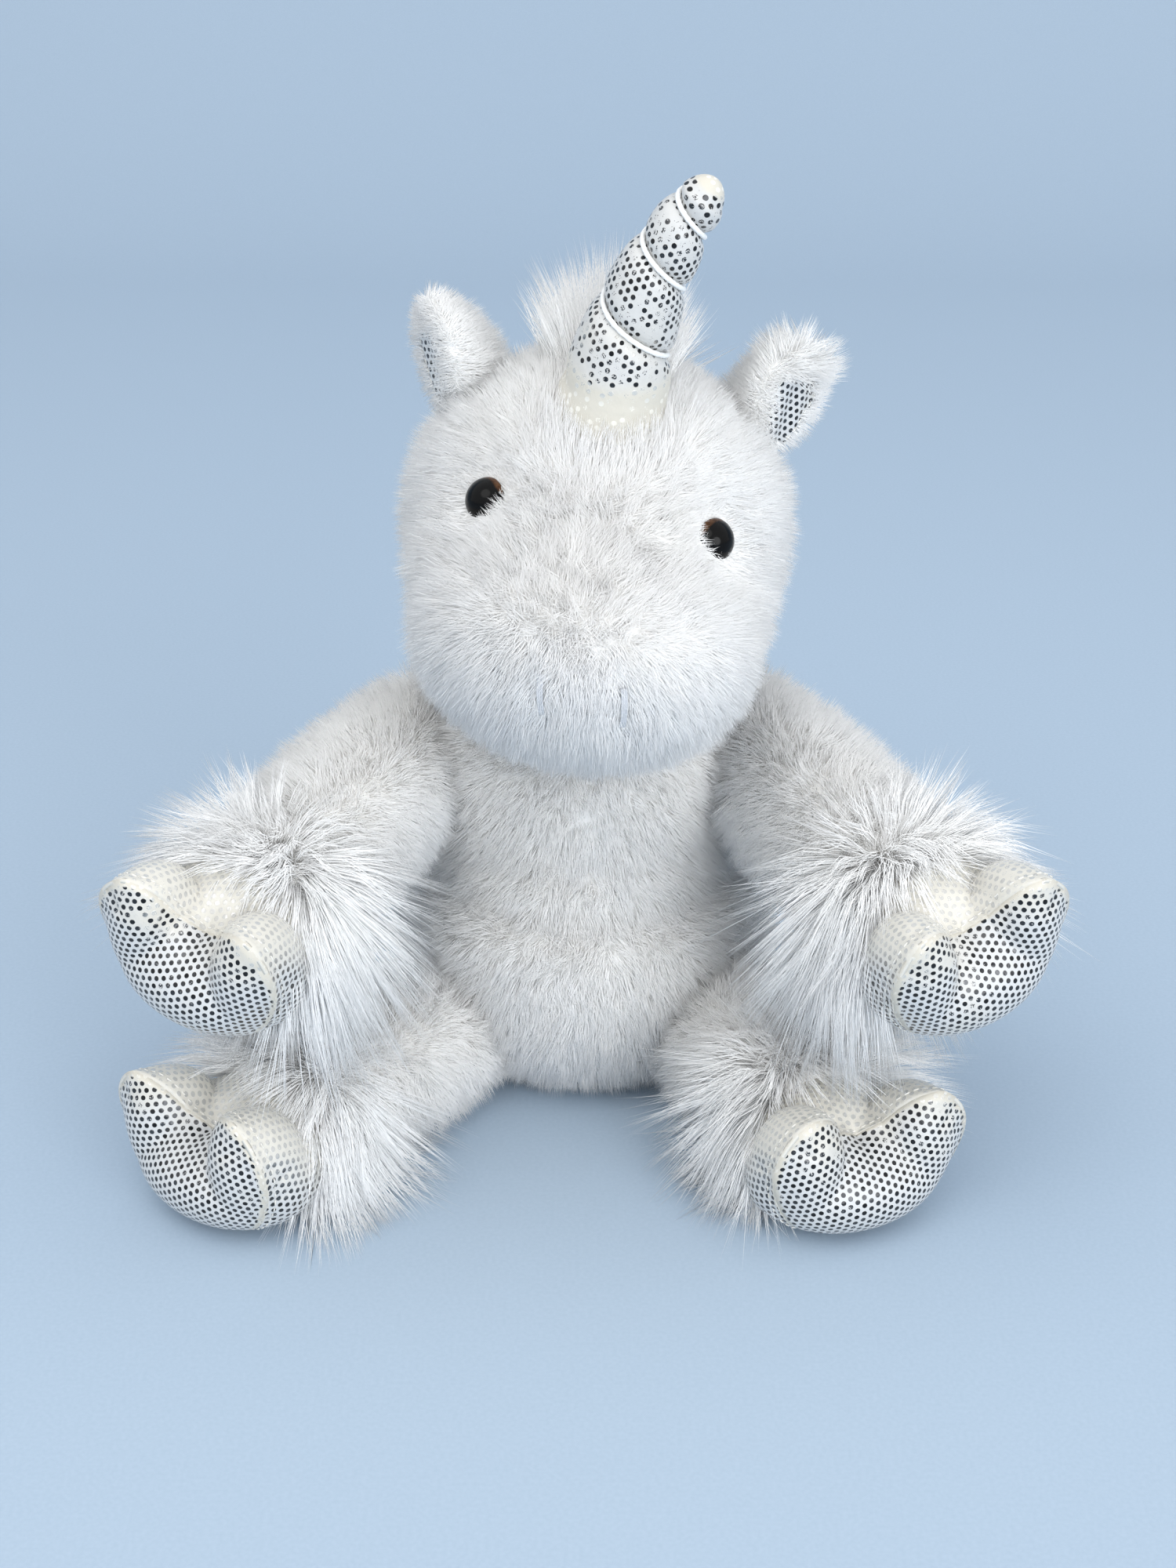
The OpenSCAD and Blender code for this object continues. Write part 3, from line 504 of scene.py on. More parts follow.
def lock_way(tree, given, place, normal):
    """The way along the skin to the middle of the lock that a tuft belongs to."""
    lock = add_node(tree, "ShaderNodeTexVoronoi", {"Vector": place, "Scale": given["Lock Scale"]})
    lock = vector_maths(tree, "SUBTRACT", lock.outputs["Position"], place)
    sunk = vector_maths(tree, "DOT_PRODUCT", lock, normal)
    return vector_maths(tree, "SUBTRACT", lock, vector_maths(tree, "SCALE", normal, sunk))


def hung(tree, given, place):
    """Where a point of a fibre ends up: it droops, is drawn to its lock and stays above the floor."""
    height = named(tree, "height")
    bend = maths(tree, "MULTIPLY", named(tree, "reach"), given["Droop"])
    bend = maths(tree, "MULTIPLY", maths(tree, "POWER", height, 2.0), bend)
    curl = add_node(tree, "ShaderNodeTexNoise", {"Vector": place, "Scale": 60.0, "Detail": 0.0})
    curl = vector_maths(tree, "SUBTRACT", curl.outputs["Color"], (0.5, 0.5, 1.1))
    drawn = maths(tree, "MULTIPLY", maths(tree, "POWER", height, 1.5), given["Lock"])
    part = pushed(tree, pushed(tree, place, curl, bend), named(tree, "lock", "FLOAT_VECTOR"), drawn)
    part = add_node(tree, "ShaderNodeSeparateXYZ", {0: part}).outputs
    up = maths(tree, "MAXIMUM", part["Z"], given["Floor"])
    return add_node(tree, "ShaderNodeCombineXYZ", {0: part["X"], 1: part["Y"], 2: up}).outputs[0]


# %% The coat as a Geometry Nodes tree
SPACING, SOFTNESS = 0.0015, 0.3


def coat_tree():
    """Plants tufts on a skin. Its attributes say where they grow, how long, and which way they lie."""
    tree, sockets, given = node_group(
        "pile_coat", "GeometryNodeTree",
        (("Skin", "Geometry", None), ("Tufts", "Collection", None), ("Spacing", "Float", SPACING),
         ("Density", "Float", 1200000.0), ("Length", "Float", 0.009), ("Uneven", "Float", 0.4),
         ("Comb", "Float", 0.4), ("Stray", "Float", 0.25), ("Clump", "Float", 0.4),
         ("Clump Scale", "Float", 90.0), ("Lock", "Float", 0.3), ("Lock Scale", "Float", 260.0),
         ("Droop", "Float", 0.0), ("Floor", "Float", 0.0004), ("Seed", "Int", 0),
         ("Fibre", "Material", None)),
        [("Coat", "Geometry")])
    place = add_node(tree, "GeometryNodeInputPosition").outputs[0]
    inputs = {"Mesh": given["Skin"], "Distance Min": given["Spacing"], "Density Max": given["Density"],
              "Density Factor": named(tree, "grow"), "Seed": given["Seed"]}
    roots = add_node(tree, "GeometryNodeDistributePointsOnFaces", inputs, distribute_method="POISSON").outputs
    kept, normal, length = roots["Points"], roots["Normal"], tuft_length(tree, given, place)
    for title, kind, value in (("skin_normal", "FLOAT_VECTOR", normal),
                               ("lock", "FLOAT_VECTOR", lock_way(tree, given, place, normal)),
                               ("tint", "FLOAT", chance(tree, given, 0.0, 1.0, 14)),
                               ("reach", "FLOAT", length)):
        inputs = {"Geometry": kept, "Name": title, "Value": value}
        made = add_node(tree, "GeometryNodeStoreNamedAttribute", inputs, data_type=kind, domain="POINT")
        kept = made.outputs[0]
    shapes = add_node(tree, "GeometryNodeCollectionInfo",
                      {"Collection": given["Tufts"], "Separate Children": True, "Reset Children": True})
    size = add_node(tree, "ShaderNodeCombineXYZ", {0: 1.0, 1: 1.0, 2: length}).outputs[0]
    planted = add_node(tree, "GeometryNodeInstanceOnPoints",
                       {"Points": kept, "Instance": shapes.outputs[0], "Pick Instance": True,
                        "Instance Index": chance(tree, given, 0, TUFT_KINDS - 1, 15, "INT"),
                        "Rotation": tuft_turn(tree, given, place, normal), "Scale": size})
    grown = add_node(tree, "GeometryNodeRealizeInstances", {0: planted.outputs[0]}).outputs[0]
    inputs = {"Geometry": grown, "Position": hung(tree, given, place)}
    grown = add_node(tree, "GeometryNodeSetPosition", inputs).outputs[0]
    dyed = add_node(tree, "GeometryNodeSetMaterial", {"Geometry": grown, "Material": given["Fibre"]})
    add_node(tree, "NodeGroupOutput", {0: dyed.outputs[0]})
    return tree, sockets


COAT, COAT_SOCKETS = coat_tree()
print("coat tree with", len(COAT.nodes), "nodes")


# %% Growing a coat
def grow(skin, name, grows, pile, comb, seed, softness=SOFTNESS, **inputs):
    """The coat of a skin as a plain mesh. grows, pile and comb hold one value for each of its points."""
    mesh = skin.data
    asked = {"grow": grows, "pile": pile, "comb": comb}
    for title, values in asked.items():
        values = np.asarray(values, np.float32)
        many = values.ndim > 1
        layer = mesh.attributes.new(title, "FLOAT_VECTOR" if many else "FLOAT", "POINT")
        layer.data.foreach_set("vector" if many else "value", values.ravel())
    tool = skin.modifiers.new("coat", "NODES")
    tool.node_group = COAT
    settings = {"Seed": seed, "Fibre": pile_material, **inputs}
    for title, value in settings.items():
        tool[COAT_SOCKETS[title.replace("_", " ")]] = value
    grown = worked_in(skin, tool)
    for title in asked:
        mesh.attributes.remove(mesh.attributes[title])
    count = len(grown.vertices)
    under, own = np.zeros(count * 3, np.float32), np.zeros(count * 3, np.float32)
    grown.attributes["skin_normal"].data.foreach_get("vector", under)
    grown.vertices.foreach_get("normal", own)
    mixed = unit(under.reshape(-1, 3) * softness + own.reshape(-1, 3) * (1 - softness) + (0, 0, 1e-6))
    for title in (*asked, "skin_normal", "lock", "reach"):
        if title in grown.attributes:
            grown.attributes.remove(grown.attributes[title])
    grown.name = name
    grown.shade_smooth()
    grown.normals_split_custom_set_from_vertices(mixed)
    piece = bpy.data.objects.new(name, grown)
    scene.collection.objects.link(piece)
    print(name, len(grown.polygons), "faces")
    return piece

# %% [markdown]
# ## Limbs: where they lie
# Two arms hang a little and two legs lie along the floor. Each is a stuffed sleeve on a straight
# line from its pivot on the torso to the middle of its hoof. These few values place every sleeve,
# cuff and hoof.

# %% Limb lines
LIMBS = {}
ARM_L, LEG_L, ROOT_D, ANKLE_D = 93.0, 81.0, 42.0, 37.0
HOOF_H, TOE_H, HOOF_W, HOOF_D, TOE_GAP = 42.0, 22.5, 50.0, 40.0, 28.0
LEG_Z, HOOF_BACK = HOOF_H - TOE_H - 0.5, HOOF_D * 0.45
for limb, side, arm, yaw in (("left_arm", 1, True, 29), ("right_arm", -1, True, 29),
                             ("left_leg", 1, False, 24), ("right_leg", -1, False, 41)):
    y, drop = math.radians(yaw), math.radians(12 if arm else 0)
    along = np.array([side * math.sin(y) * math.cos(drop), -math.cos(y) * math.cos(drop), -math.sin(drop)])
    way = unit([side * 42, -6, 33] if arm else [side * 36, -24, LEG_Z - TORSO_MIDDLE[2]])
    pivot = TORSO_MIDDLE + way * torso_reach(way[None])[0]
    if not arm:
        pivot = np.array([pivot[0], pivot[1], LEG_Z]) - along * (11 if side > 0 else 0)
    length = ARM_L if arm else LEG_L
    LIMBS[limb] = dict(side=side, arm=arm, along=along, pivot=pivot, length=length,
                       ankle=length - HOOF_BACK, frame=frame_along(along))
    print(limb, "pivot", np.round(pivot, 1).tolist(), "ankle at", length - HOOF_BACK, "mm")


def sleeve_radius(limb, s):
    u = s / limb["ankle"]
    return (ROOT_D + (ANKLE_D - ROOT_D) * u) / 2 + 4 * np.sin(np.pi * u)


def from_limb(limb, p):
    """Distance along a limb's line and away from it, for points in millimetres."""
    out = p - limb["pivot"]
    s = out @ limb["along"]
    return s, np.linalg.norm(out - s[:, None] * limb["along"], axis=1)

# %% [markdown]
# ## Torso
# The torso is one stuffed bag: a belly, a chest that folds over it, and a flat seat. Its skin is an
# even ball of triangles pushed out to the form, so it has no poles to pinch, and lies 5 mm inside the
# solid's surface. The pile is combed down, and left off under the limbs' roots, at the neck and under
# the seat. It is grown in two halves, which keeps each piece light.

# %% Torso skin
SKIN_DEPTH, FOLD_Z, FOLD_DEPTH = 5.2, 57, 4.0


def skin_piece(name, middle, reach, level=5):
    """A closed skin round a point, from its reach in each direction."""
    ways, faces = ball_ways(level)
    points = middle + ways * reach(ways)[:, None]
    made = mesh_object(name, points * MM, faces)
    made.data.materials.append(backing)
    return made, points


def fold_torso(d):
    """The torso's skin, drawn in along the fold between belly and chest."""
    r = torso_reach(d, SKIN_DEPTH, 0.6, NECK_Z + 1)
    z = TORSO_MIDDLE[2] + d[:, 2] * r
    front = smoothstep(-d[:, 1], -0.2, 0.5)
    return r - FOLD_DEPTH * front * np.exp(-((z - FOLD_Z - 3 * np.abs(d[:, 0])) / 5.0) ** 2)


torso, points = skin_piece("torso_plush", TORSO_MIDDLE, fold_torso)
print("torso skin with", len(points), "points")

# %% Torso coat
ROOT_MARGIN = 12


def combed(points, middle, way):
    """The part of a direction that lies along the surface, for each point."""
    out = unit(points - middle)
    way = np.broadcast_to(np.asarray(way, float), out.shape)
    return way - (way * out).sum(1)[:, None] * out


bare = (points[:, 2] > NECK_Z - 4) | (points[:, 2] < 1.2)
for limb in LIMBS.values():
    s, away = from_limb(limb, points)
    bare |= (s > -30) & (s < 20) & (away < sleeve_radius(limb, np.clip(s, 0, 30)) - ROOT_MARGIN)
grows = np.where(bare, 0.0, 1.0)
length = 0.9 + 0.1 * smoothstep(points[:, 2], 0, 30)
comb = combed(points, TORSO_MIDDLE, (0, 0, -1))
torso_coats = [grow(torso, f"torso_pile_{part}", grows * keep, length, comb, seed, Tufts=short_tufts)
               for part, keep, seed in (("left", points[:, 0] >= 0, 1), ("right", points[:, 0] < 0, 2))]
for piece in (torso, *torso_coats):
    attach(piece, "torso")
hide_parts("torso_skin", "torso_stuffing", "pellet_bag")

# %% [markdown]
# ## Head
# The head is a round skull with a broad, drooping muzzle. Its pile is short round the eyes, combed
# down the lower face and parted at the nostrils. It stands up round the horn, and none grows under it.
# Four coats cover the head: the brow, the muzzle and the two sides.

# %% Head skin
HORN_WAY, HORN_UP = (crown_way(0, -math.sin(math.radians(a)), math.cos(math.radians(a))) for a in (21, 10.5))
HORN_ROOT = on_head(HORN_WAY[None])[0]
NOSTRIL_WAYS = [head_way(sign * 10, -70, -19) for sign in (1, -1)]


def head_form(d):
    """The head's skin. Stuffing rounds the fold over the muzzle, so its bulges blend more softly here."""
    bridge = bulge_reach(d @ HEAD_FRAME.T, (0, -22, -8), (47, 36, 34), SKIN_DEPTH)
    return blended([head_reach(d, SKIN_DEPTH, NECK_Z + 1.4, power=5), np.minimum(bridge, 80)], 9)


head, points = skin_piece("head_plush", HEAD_MIDDLE, head_form)
grows = np.where(points[:, 2] < NECK_Z + 2.5, 0.0, 1.0)
grows[np.linalg.norm(points - (HORN_ROOT - 5 * HORN_WAY), axis=1) < 10] = 0
length = np.ones(len(points))
low = smoothstep(-(points - HEAD_MIDDLE) @ HEAD_FRAME[2], -2, 22)
comb = combed(points, HEAD_MIDDLE, (0, 0.3, -1.2)) * (0.3 + 0.7 * low)[:, None]
print("head skin with", len(points), "points")

# %% Pile round the eyes
for at, normal in EYES.values():
    out = points - at
    flat = out - (out @ normal)[:, None] * normal
    away = np.linalg.norm(flat, axis=1)
    near = (np.linalg.norm(out, axis=1) < 20)
    inner = unit(np.array([HEAD_MIDDLE[0] - at[0], 0, 10 if at[0] > HEAD_MIDDLE[0] else -15]))
    over = smoothstep(flat @ inner / np.maximum(away, 1), -0.2, 0.7)
    part = np.where(near, 1 - smoothstep(away, 6, 13), 0)
    above = smoothstep(flat[:, 2] / np.maximum(away, 1), 0.2, 0.8)
    length *= (1 - (0.45 + 0.25 * above) * part) * (1 - 0.92 * near * (1 - smoothstep(away, 3.8, 7.2)))
    comb += ((0.85 - 0.6 * over) * part / np.maximum(away, 1))[:, None] * flat
print("shortest pile at the eyes:", round(float(length.min()), 2), "of the full length")

# %% Pile at the nostrils, the horn and the nose
for way in NOSTRIL_WAYS:
    at, axes = on_head(way[None])[0], frame_along(head_normal(way))
    beside, along = (points - at) @ axes[0], (points - at) @ axes[1]
    near = np.linalg.norm(points - at, axis=1) < 14
    grows[near & (np.abs(beside) < 1.2) & (np.abs(along) < 6)] = 0
    part = near * (1 - smoothstep(np.abs(beside), 1, 4.5)) * (1 - smoothstep(np.abs(along), 5, 8))
    length *= 1 - 0.3 * part
    comb += (1.2 * part * np.sign(beside))[:, None] * axes[0]
out = points - HORN_ROOT
out = out - (out @ HORN_UP)[:, None] * HORN_UP
away = np.linalg.norm(out, axis=1)
near = np.where((points - HORN_ROOT) @ HORN_UP > -25, np.exp(-((away - 15) / 5) ** 2), 0)
length *= 1 + 0.25 * near
comb += (1.6 * near)[:, None] * (0.8 * HORN_UP - 0.5 * unit(out)) - 0.8 * near[:, None] * comb
snout = np.linalg.norm(points - on_head(head_way(0, -60, -8)[None])[0], axis=1)
length *= 1 - 0.16 * np.exp(-(snout / 20) ** 2)
print("longest pile at the horn:", round(float(length.max()), 2), "of the full length")

# %% Head coats
FACE_TURN, BROW_LOW = 50, 0.15
turn = np.degrees(np.arctan2(points[:, 0] - HEAD_MIDDLE[0], -(points[:, 1] - HEAD_MIDDLE[1])))
face = np.abs(turn) < FACE_TURN
meet = (np.abs(np.abs(turn) - FACE_TURN) < 6) & (np.abs(low - BROW_LOW) < 0.14)
coats = (("brow", face & (low < BROW_LOW) | meet, 3, 0.0012, 0.5),
         ("muzzle", face & (low >= BROW_LOW), 6, 0.0011, 0.5),
         ("left", turn >= FACE_TURN, 4, SPACING, 0.4),
         ("right", turn <= -FACE_TURN, 5, SPACING, 0.4))
head_coats = [grow(head, f"head_pile_{part}", grows * keep, length, comb, seed, soft, Tufts=short_tufts,
                   Spacing=space, Comb=0.6, Stray=0.3, Uneven=0.3, Clump=0.25, Lock=0.15)
              for part, keep, seed, space, soft in coats]
for piece in (head, *head_coats):
    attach(piece, "head")
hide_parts("head_skin", "head_stuffing")

# %% [markdown]
# ## Sleeves
# Each arm and leg is a stuffed tube of the same plush, sewn to the torso at its root. The tube
# starts where it leaves the torso's skin, found by halving the span, and swells between root and
# ankle.

# %% Sleeve form
SIDES, RINGS = 60, 40


def tube(rings):
    """Points and faces of a closed tube through rings of points, with a fan at each end."""
    rings = np.asarray(rings, float)
    count, sides = rings.shape[:2]
    points = np.concatenate([rings.reshape(-1, 3), rings[0].mean(0)[None], rings[-1].mean(0)[None]])
    beside = [(j, (j + 1) % sides) for j in range(sides)]
    last = (count - 1) * sides
    faces = [(i + j, i + k, i + sides + k, i + sides + j) for i in range(0, last, sides) for j, k in beside]
    faces += [(count * sides, k, j) for j, k in beside]
    faces += [(count * sides + 1, last + j, last + k) for j, k in beside]
    return points, faces


def around(limb, s, turn, radius):
    """Points round a limb's line. A leg is pressed flat along the floor."""
    f = limb["frame"]
    out = f[0] * np.cos(turn)[..., None] + f[1] * np.sin(turn)[..., None]
    p = limb["pivot"] + f[2] * np.asarray(s)[..., None] + out * np.asarray(radius)[..., None]
    if not limb["arm"]:
        p[..., 2] = np.maximum(p[..., 2], 4.2)
    return p


def sleeve_rings(limb):
    """Rings of a sleeve's skin, from where it leaves the torso's skin to the ankle."""
    turn = full_turn(SIDES)
    low, high = np.full(SIDES, -14.0), np.full(SIDES, 40.0)
    for _ in range(16):
        middle = (low + high) / 2
        start = around(limb, middle, turn, sleeve_radius(limb, middle) - SKIN_DEPTH)
        inside = depth_in_torso(start, SKIN_DEPTH) > 0.6
        low, high = np.where(inside, middle, low), np.where(inside, high, middle)
    rings = []
    for share in np.linspace(0, 1, RINGS):
        s = high + (limb["ankle"] + 1 - high) * share
        rings.append(around(limb, s, turn, sleeve_radius(limb, s) - SKIN_DEPTH))
    return np.array(rings)


# %% Sleeve skins and coats
def dress(piece):
    """Bakes a piece of a limb's cloth into its place."""
    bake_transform(piece)


for number, (name, limb) in enumerate(LIMBS.items()):
    points, faces = tube(sleeve_rings(limb))
    sleeve = mesh_object(f"{name}_plush", points * MM, faces)
    sleeve.data.materials.append(backing)
    s, away = from_limb(limb, points)
    axis = limb["pivot"] + s[:, None] * limb["along"]
    grows = np.where((s > limb["ankle"] + 0.5) | (away < 5), 0.0, 1.0)
    comb = combed(points, axis, 0.8 * limb["along"] + np.array([0, 0, -0.5]))
    coat = grow(sleeve, f"{name}_pile", grows, np.ones(len(points)), comb, 20 + number, Tufts=short_tufts)
    dress(sleeve)
    dress(coat)
    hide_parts(f"{name}_sleeve", f"{name}_stuffing")

# %% [markdown]
# ## Ankle ruffs
# A band of long silky pile is sewn in between each sleeve and its hoof. The fibres stand out from
# the band, fan over the hoof and droop under their own weight, clinging together in pointed locks.

# %% Ruffs
BAND = ((-15, -5.5), (-13, -4.4), (-9, -3.6), (-5, -3.0), (-1, -2.4), (2, -2.2), (3, -3.6))


def ruff_pile(limb, s, out):
    """How long a ruff's fibres are and how they are combed, from their places along and round the limb."""
    side, arm = limb["side"], limb["arm"]
    forward = smoothstep(s, limb["ankle"] - 15, limb["ankle"] + 2)
    down = 0.1 + 0.6 * (1 - np.abs(out[:, 2]))
    inner = smoothstep(-side * out[:, 0], 0.1, 0.8)
    under = smoothstep(-out[:, 2], 0.35, 0.85)
    beyond = smoothstep(side * out[:, 0] + 0.5 * out[:, 2], 0.5, 1.0)
    over = smoothstep(out[:, 2], 0.3, 0.9) * forward * (1 - beyond)
    outer = smoothstep(side * out[:, 0], 0.3, 0.9) * (1 - smoothstep(out[:, 2], -0.1, 0.4))
    share = (1 + (0.35 if arm else 0.15) * inner) * (1 - (0.2 if arm else 0.45) * under)
    share = share * (1 - 0.3 * over) * (1 + 0.15 * beyond) * (1 - 0.5 * outer)
    comb = limb["along"] * (0.1 + 0.8 * forward)[:, None] - np.array([0, 0, 1]) * down[:, None]
    return share, comb * (1 - 0.55 * beyond)[:, None]


for number, (name, limb) in enumerate(LIMBS.items()):
    ankle_r = sleeve_radius(limb, limb["ankle"])
    points, faces = tube([around(limb, np.full(SIDES, limb["ankle"] + s), full_turn(SIDES),
                                 np.full(SIDES, ankle_r + r)) for s, r in BAND])
    band = mesh_object(f"{name}_ruff_band", points * MM, faces)
    band.data.materials.append(backing)
    s, away = from_limb(limb, points)
    axis = limb["pivot"] + s[:, None] * limb["along"]
    grows = np.where((away < 10) | (s > limb["ankle"] + 2.5), 0.0, 1.0)
    share, comb = ruff_pile(limb, s, unit(points - axis))
    ruff = grow(band, f"{name}_ruff", grows, share, comb, 30 + number, Tufts=long_tufts, Spacing=0.0009,
                Density=4.0e6, Length=0.028, Uneven=0.3, Comb=1.0, Stray=0.16, Clump=0.5, Lock=0.55,
                Droop=0.6, Lock_Scale=150.0, Clump_Scale=70.0)
    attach(band, name)
    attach(ruff, name)
    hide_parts(f"{name}_cuff")

# %% [markdown]
# ## Dotted satin
# The hooves, ear linings and horn are a white satin printed with round foil dots in an even
# six-sided lattice. The foil's colour is dark, a painted reflection of dark surroundings in silver foil.
# On the hooves' upper sides, where they face up, cloth and foil fade to beige and a pale grey, partly
# the panel's own tone and partly a painted reflection. The foil is rubbed quite off along seams and in
# patches, and dots beside the seams and in other patches are painted bright, a painted glint. A node
# group draws the lattice from the cloth's own flat map, which is in metres, so the dots keep their
# size on every piece.

# %% Foil dot group
dots, _, given = node_group(
    "foil_dots", "ShaderNodeTree",
    (("Cloth", "Vector", None), ("Pitch", "Float", 0.0021), ("Radius", "Float", 0.00065),
     ("Wear", "Float", 0.5)),
    (("Foil", "Float"), ("Chance", "Float"), ("Weave", "Float")))
row = maths(dots, "MULTIPLY", given["Pitch"], math.sqrt(3))
cell = add_node(dots, "ShaderNodeCombineXYZ", {0: given["Pitch"], 1: row, 2: 1.0}).outputs[0]
grid = vector_maths(dots, "DIVIDE", given["Cloth"], cell)
found = []
for shift in ((0.0, 0.0, 0.5), (0.5, 0.5, 0.5)):
    moved = vector_maths(dots, "ADD", grid, shift)
    inside = vector_maths(dots, "SUBTRACT", vector_maths(dots, "FRACTION", moved), (0.5, 0.5, 0.5))
    inside = vector_maths(dots, "MULTIPLY", vector_maths(dots, "MULTIPLY", inside, cell), (1, 1, 0))
    number = vector_maths(dots, "ADD", vector_maths(dots, "FLOOR", moved), (shift[0] * 7.3, 0.31, 0.0))
    drawn = add_node(dots, "ShaderNodeTexWhiteNoise", {"Vector": number}, noise_dimensions="3D")
    found.append((vector_maths(dots, "LENGTH", inside), drawn.outputs["Value"]))
(far_a, luck_a), (far_b, luck_b) = found
first = maths(dots, "LESS_THAN", far_a, far_b)
luck = maths(dots, "ADD", maths(dots, "MULTIPLY", first, luck_a),
             maths(dots, "MULTIPLY", maths(dots, "SUBTRACT", 1.0, first), luck_b))
nearest = maths(dots, "DIVIDE", maths(dots, "MINIMUM", far_a, far_b), given["Radius"])
fleck = noise(dots, 2600.0, 2.0, given["Cloth"])
fleck = maths(dots, "ADD", fleck, maths(dots, "MULTIPLY", given["Wear"], luck))
worn = maths(dots, "GREATER_THAN", fleck, 0.93)
thread = add_node(dots, "ShaderNodeTexBrick",
                  {"Vector": given["Cloth"], "Scale": 2600.0, "Mortar Size": 0.2, "Color1": (1, 1, 1, 1),
                   "Color2": (0.8, 0.8, 0.8, 1), "Mortar": (0, 0, 0, 1)}).outputs["Color"]
foil = maths(dots, "MULTIPLY", span(dots, nearest, 0.88, 1.08, 1.0, 0.0), maths(dots, "SUBTRACT", 1.0, worn))
add_node(dots, "NodeGroupOutput", {"Foil": foil, "Chance": luck, "Weave": thread})
print("foil dot group with", len(dots.nodes), "nodes")

# %% Satin material
# The last two colours are the foil's. They are dark, a painted reflection: the silver foil is coloured as if
# it mirrored dark surroundings.
CLOTH = ((0.665, 0.67, 0.67), (0.70, 0.66, 0.57), (0.018, 0.019, 0.021), (0.09, 0.092, 0.097))
# The second cloth colour is the beige of the hoof uppers where they face up: partly the panel's own tone,
# partly a painted reflection of the light.
WORN_CLOTH, LIT_BEIGE_CLOTH = (0.645, 0.64, 0.625), (0.68, 0.655, 0.59)
# Of the foil colours, the second is a painted glint for dots that seem to catch the light, and the third the
# pale grey of the painted reflection on the hoof uppers.
WORN_DOT, GLINT_FOIL, LIT_FOIL = (0.82, 0.79, 0.71), (0.66, 0.645, 0.60), (0.62, 0.61, 0.58)


def satin_material(name, cloth_pale, cloth_cream, foil_dark, foil_pale, wear_and_glint=0.0):
    """Satin with foil dots. "bare" takes the foil off a cream cloth. The other stored value fades both to
    beige where hoof uppers face up, partly their own tone and partly a painted reflection; patches of dots
    get painted glints.
    """
    material, tree, shader = new_material(name)
    cloth = add_node(tree, "ShaderNodeUVMap", uv_map="cloth").outputs[0]
    bare, beige_and_lit = attribute(tree, "bare"), attribute(tree, "beige_and_lit")
    cloud = noise(tree, 70.0, 3.0)
    rubbed = maths(tree, "MULTIPLY_ADD", bare, 0.5, maths(tree, "MULTIPLY_ADD", cloud, 0.65, wear_and_glint))
    pattern = add_node(tree, "ShaderNodeGroup", {"Cloth": cloth, "Wear": rubbed}, node_tree=dots).outputs
    spot = maths(tree, "MULTIPLY", pattern["Foil"], span(tree, bare, 0.55, 0.95, 1.0, 0.0))
    aged = maths(tree, "ADD", cloud, bare)
    ground, gaps = (ramp(tree, aged, 0.55, 1.05, [c * k for c in cloth_pale], [c * k for c in cloth_cream])
                    for k in (1, 0.93))
    ground = ramp(tree, pattern["Weave"], 0.0, 1.0, gaps, ground)
    ground = ramp(tree, pattern["Foil"], 0.0, 1.0, ground, WORN_DOT)
    # Where the hoof uppers face up, cloth and foil fade to beige and a pale grey and lose their metal: partly
    # the panel's own tone, partly a painted reflection of the light.
    ground = ramp(tree, beige_and_lit, 0.0, 1.0, ground, LIT_BEIGE_CLOTH)
    # Painted glints: in cloudy patches, by chance and beside the seams, dots are painted pale and less
    # metallic, as if they caught the light. The horn's satin gets more of them.
    painted_glint = maths(tree, "MULTIPLY_ADD", cloud, 0.8, maths(tree, "MULTIPLY", pattern["Chance"], 0.22))
    painted_glint = maths(tree, "MULTIPLY_ADD", bare, 0.6, painted_glint)
    painted_glint = span(tree, painted_glint, 0.78 - 0.55 * wear_and_glint, 0.82 - 0.55 * wear_and_glint)
    foil = ramp(tree, pattern["Chance"], 0.0, 1.0, foil_dark, foil_pale)
    foil = ramp(tree, painted_glint, 0.0, 1.0, foil, GLINT_FOIL)
    foil = ramp(tree, beige_and_lit, 0.0, 1.0, foil, LIT_FOIL)
    tinny = maths(tree, "MULTIPLY", maths(tree, "MULTIPLY_ADD", beige_and_lit, -0.7, 1.0),
                  maths(tree, "MULTIPLY_ADD", painted_glint, -0.6, 1.0))
    smooth = maths(tree, "MULTIPLY_ADD", pattern["Chance"], 0.16, 0.12)
    rough = maths(tree, "ADD", maths(tree, "MULTIPLY", spot, smooth),
                  maths(tree, "MULTIPLY", maths(tree, "SUBTRACT", 1.0, spot), 0.5))
    relief = maths(tree, "ADD", maths(tree, "MULTIPLY", pattern["Weave"], 0.12),
                   maths(tree, "ADD", maths(tree, "MULTIPLY", spot, 0.35), noise(tree, 420.0)))
    set_shader(tree, shader, Base_Color=ramp(tree, spot, 0.0, 1.0, ground, foil), Roughness=rough,
               Metallic=maths(tree, "MULTIPLY", spot, tinny), Normal=bumped(tree, relief, 0.35, 0.0005),
               Sheen_Weight=0.15, Coat_Weight=0.12, Coat_Roughness=0.3)
    return material


satin = satin_material("dotted_satin", *CLOTH)
# The horn's satin is greyer, more worn and has more painted glints.
worn_glinting_satin = satin_material("worn_glinting_dotted_satin", WORN_CLOTH, *CLOTH[1:], wear_and_glint=0.3)
thread_white, tree, shader, _ = grained("sewing_thread", 1500.0, (0.70, 0.68, 0.62), (0.86, 0.85, 0.81))
set_shader(tree, shader, Roughness=0.6)
print("finishes:", satin.name, worn_glinting_satin.name, thread_white.name)


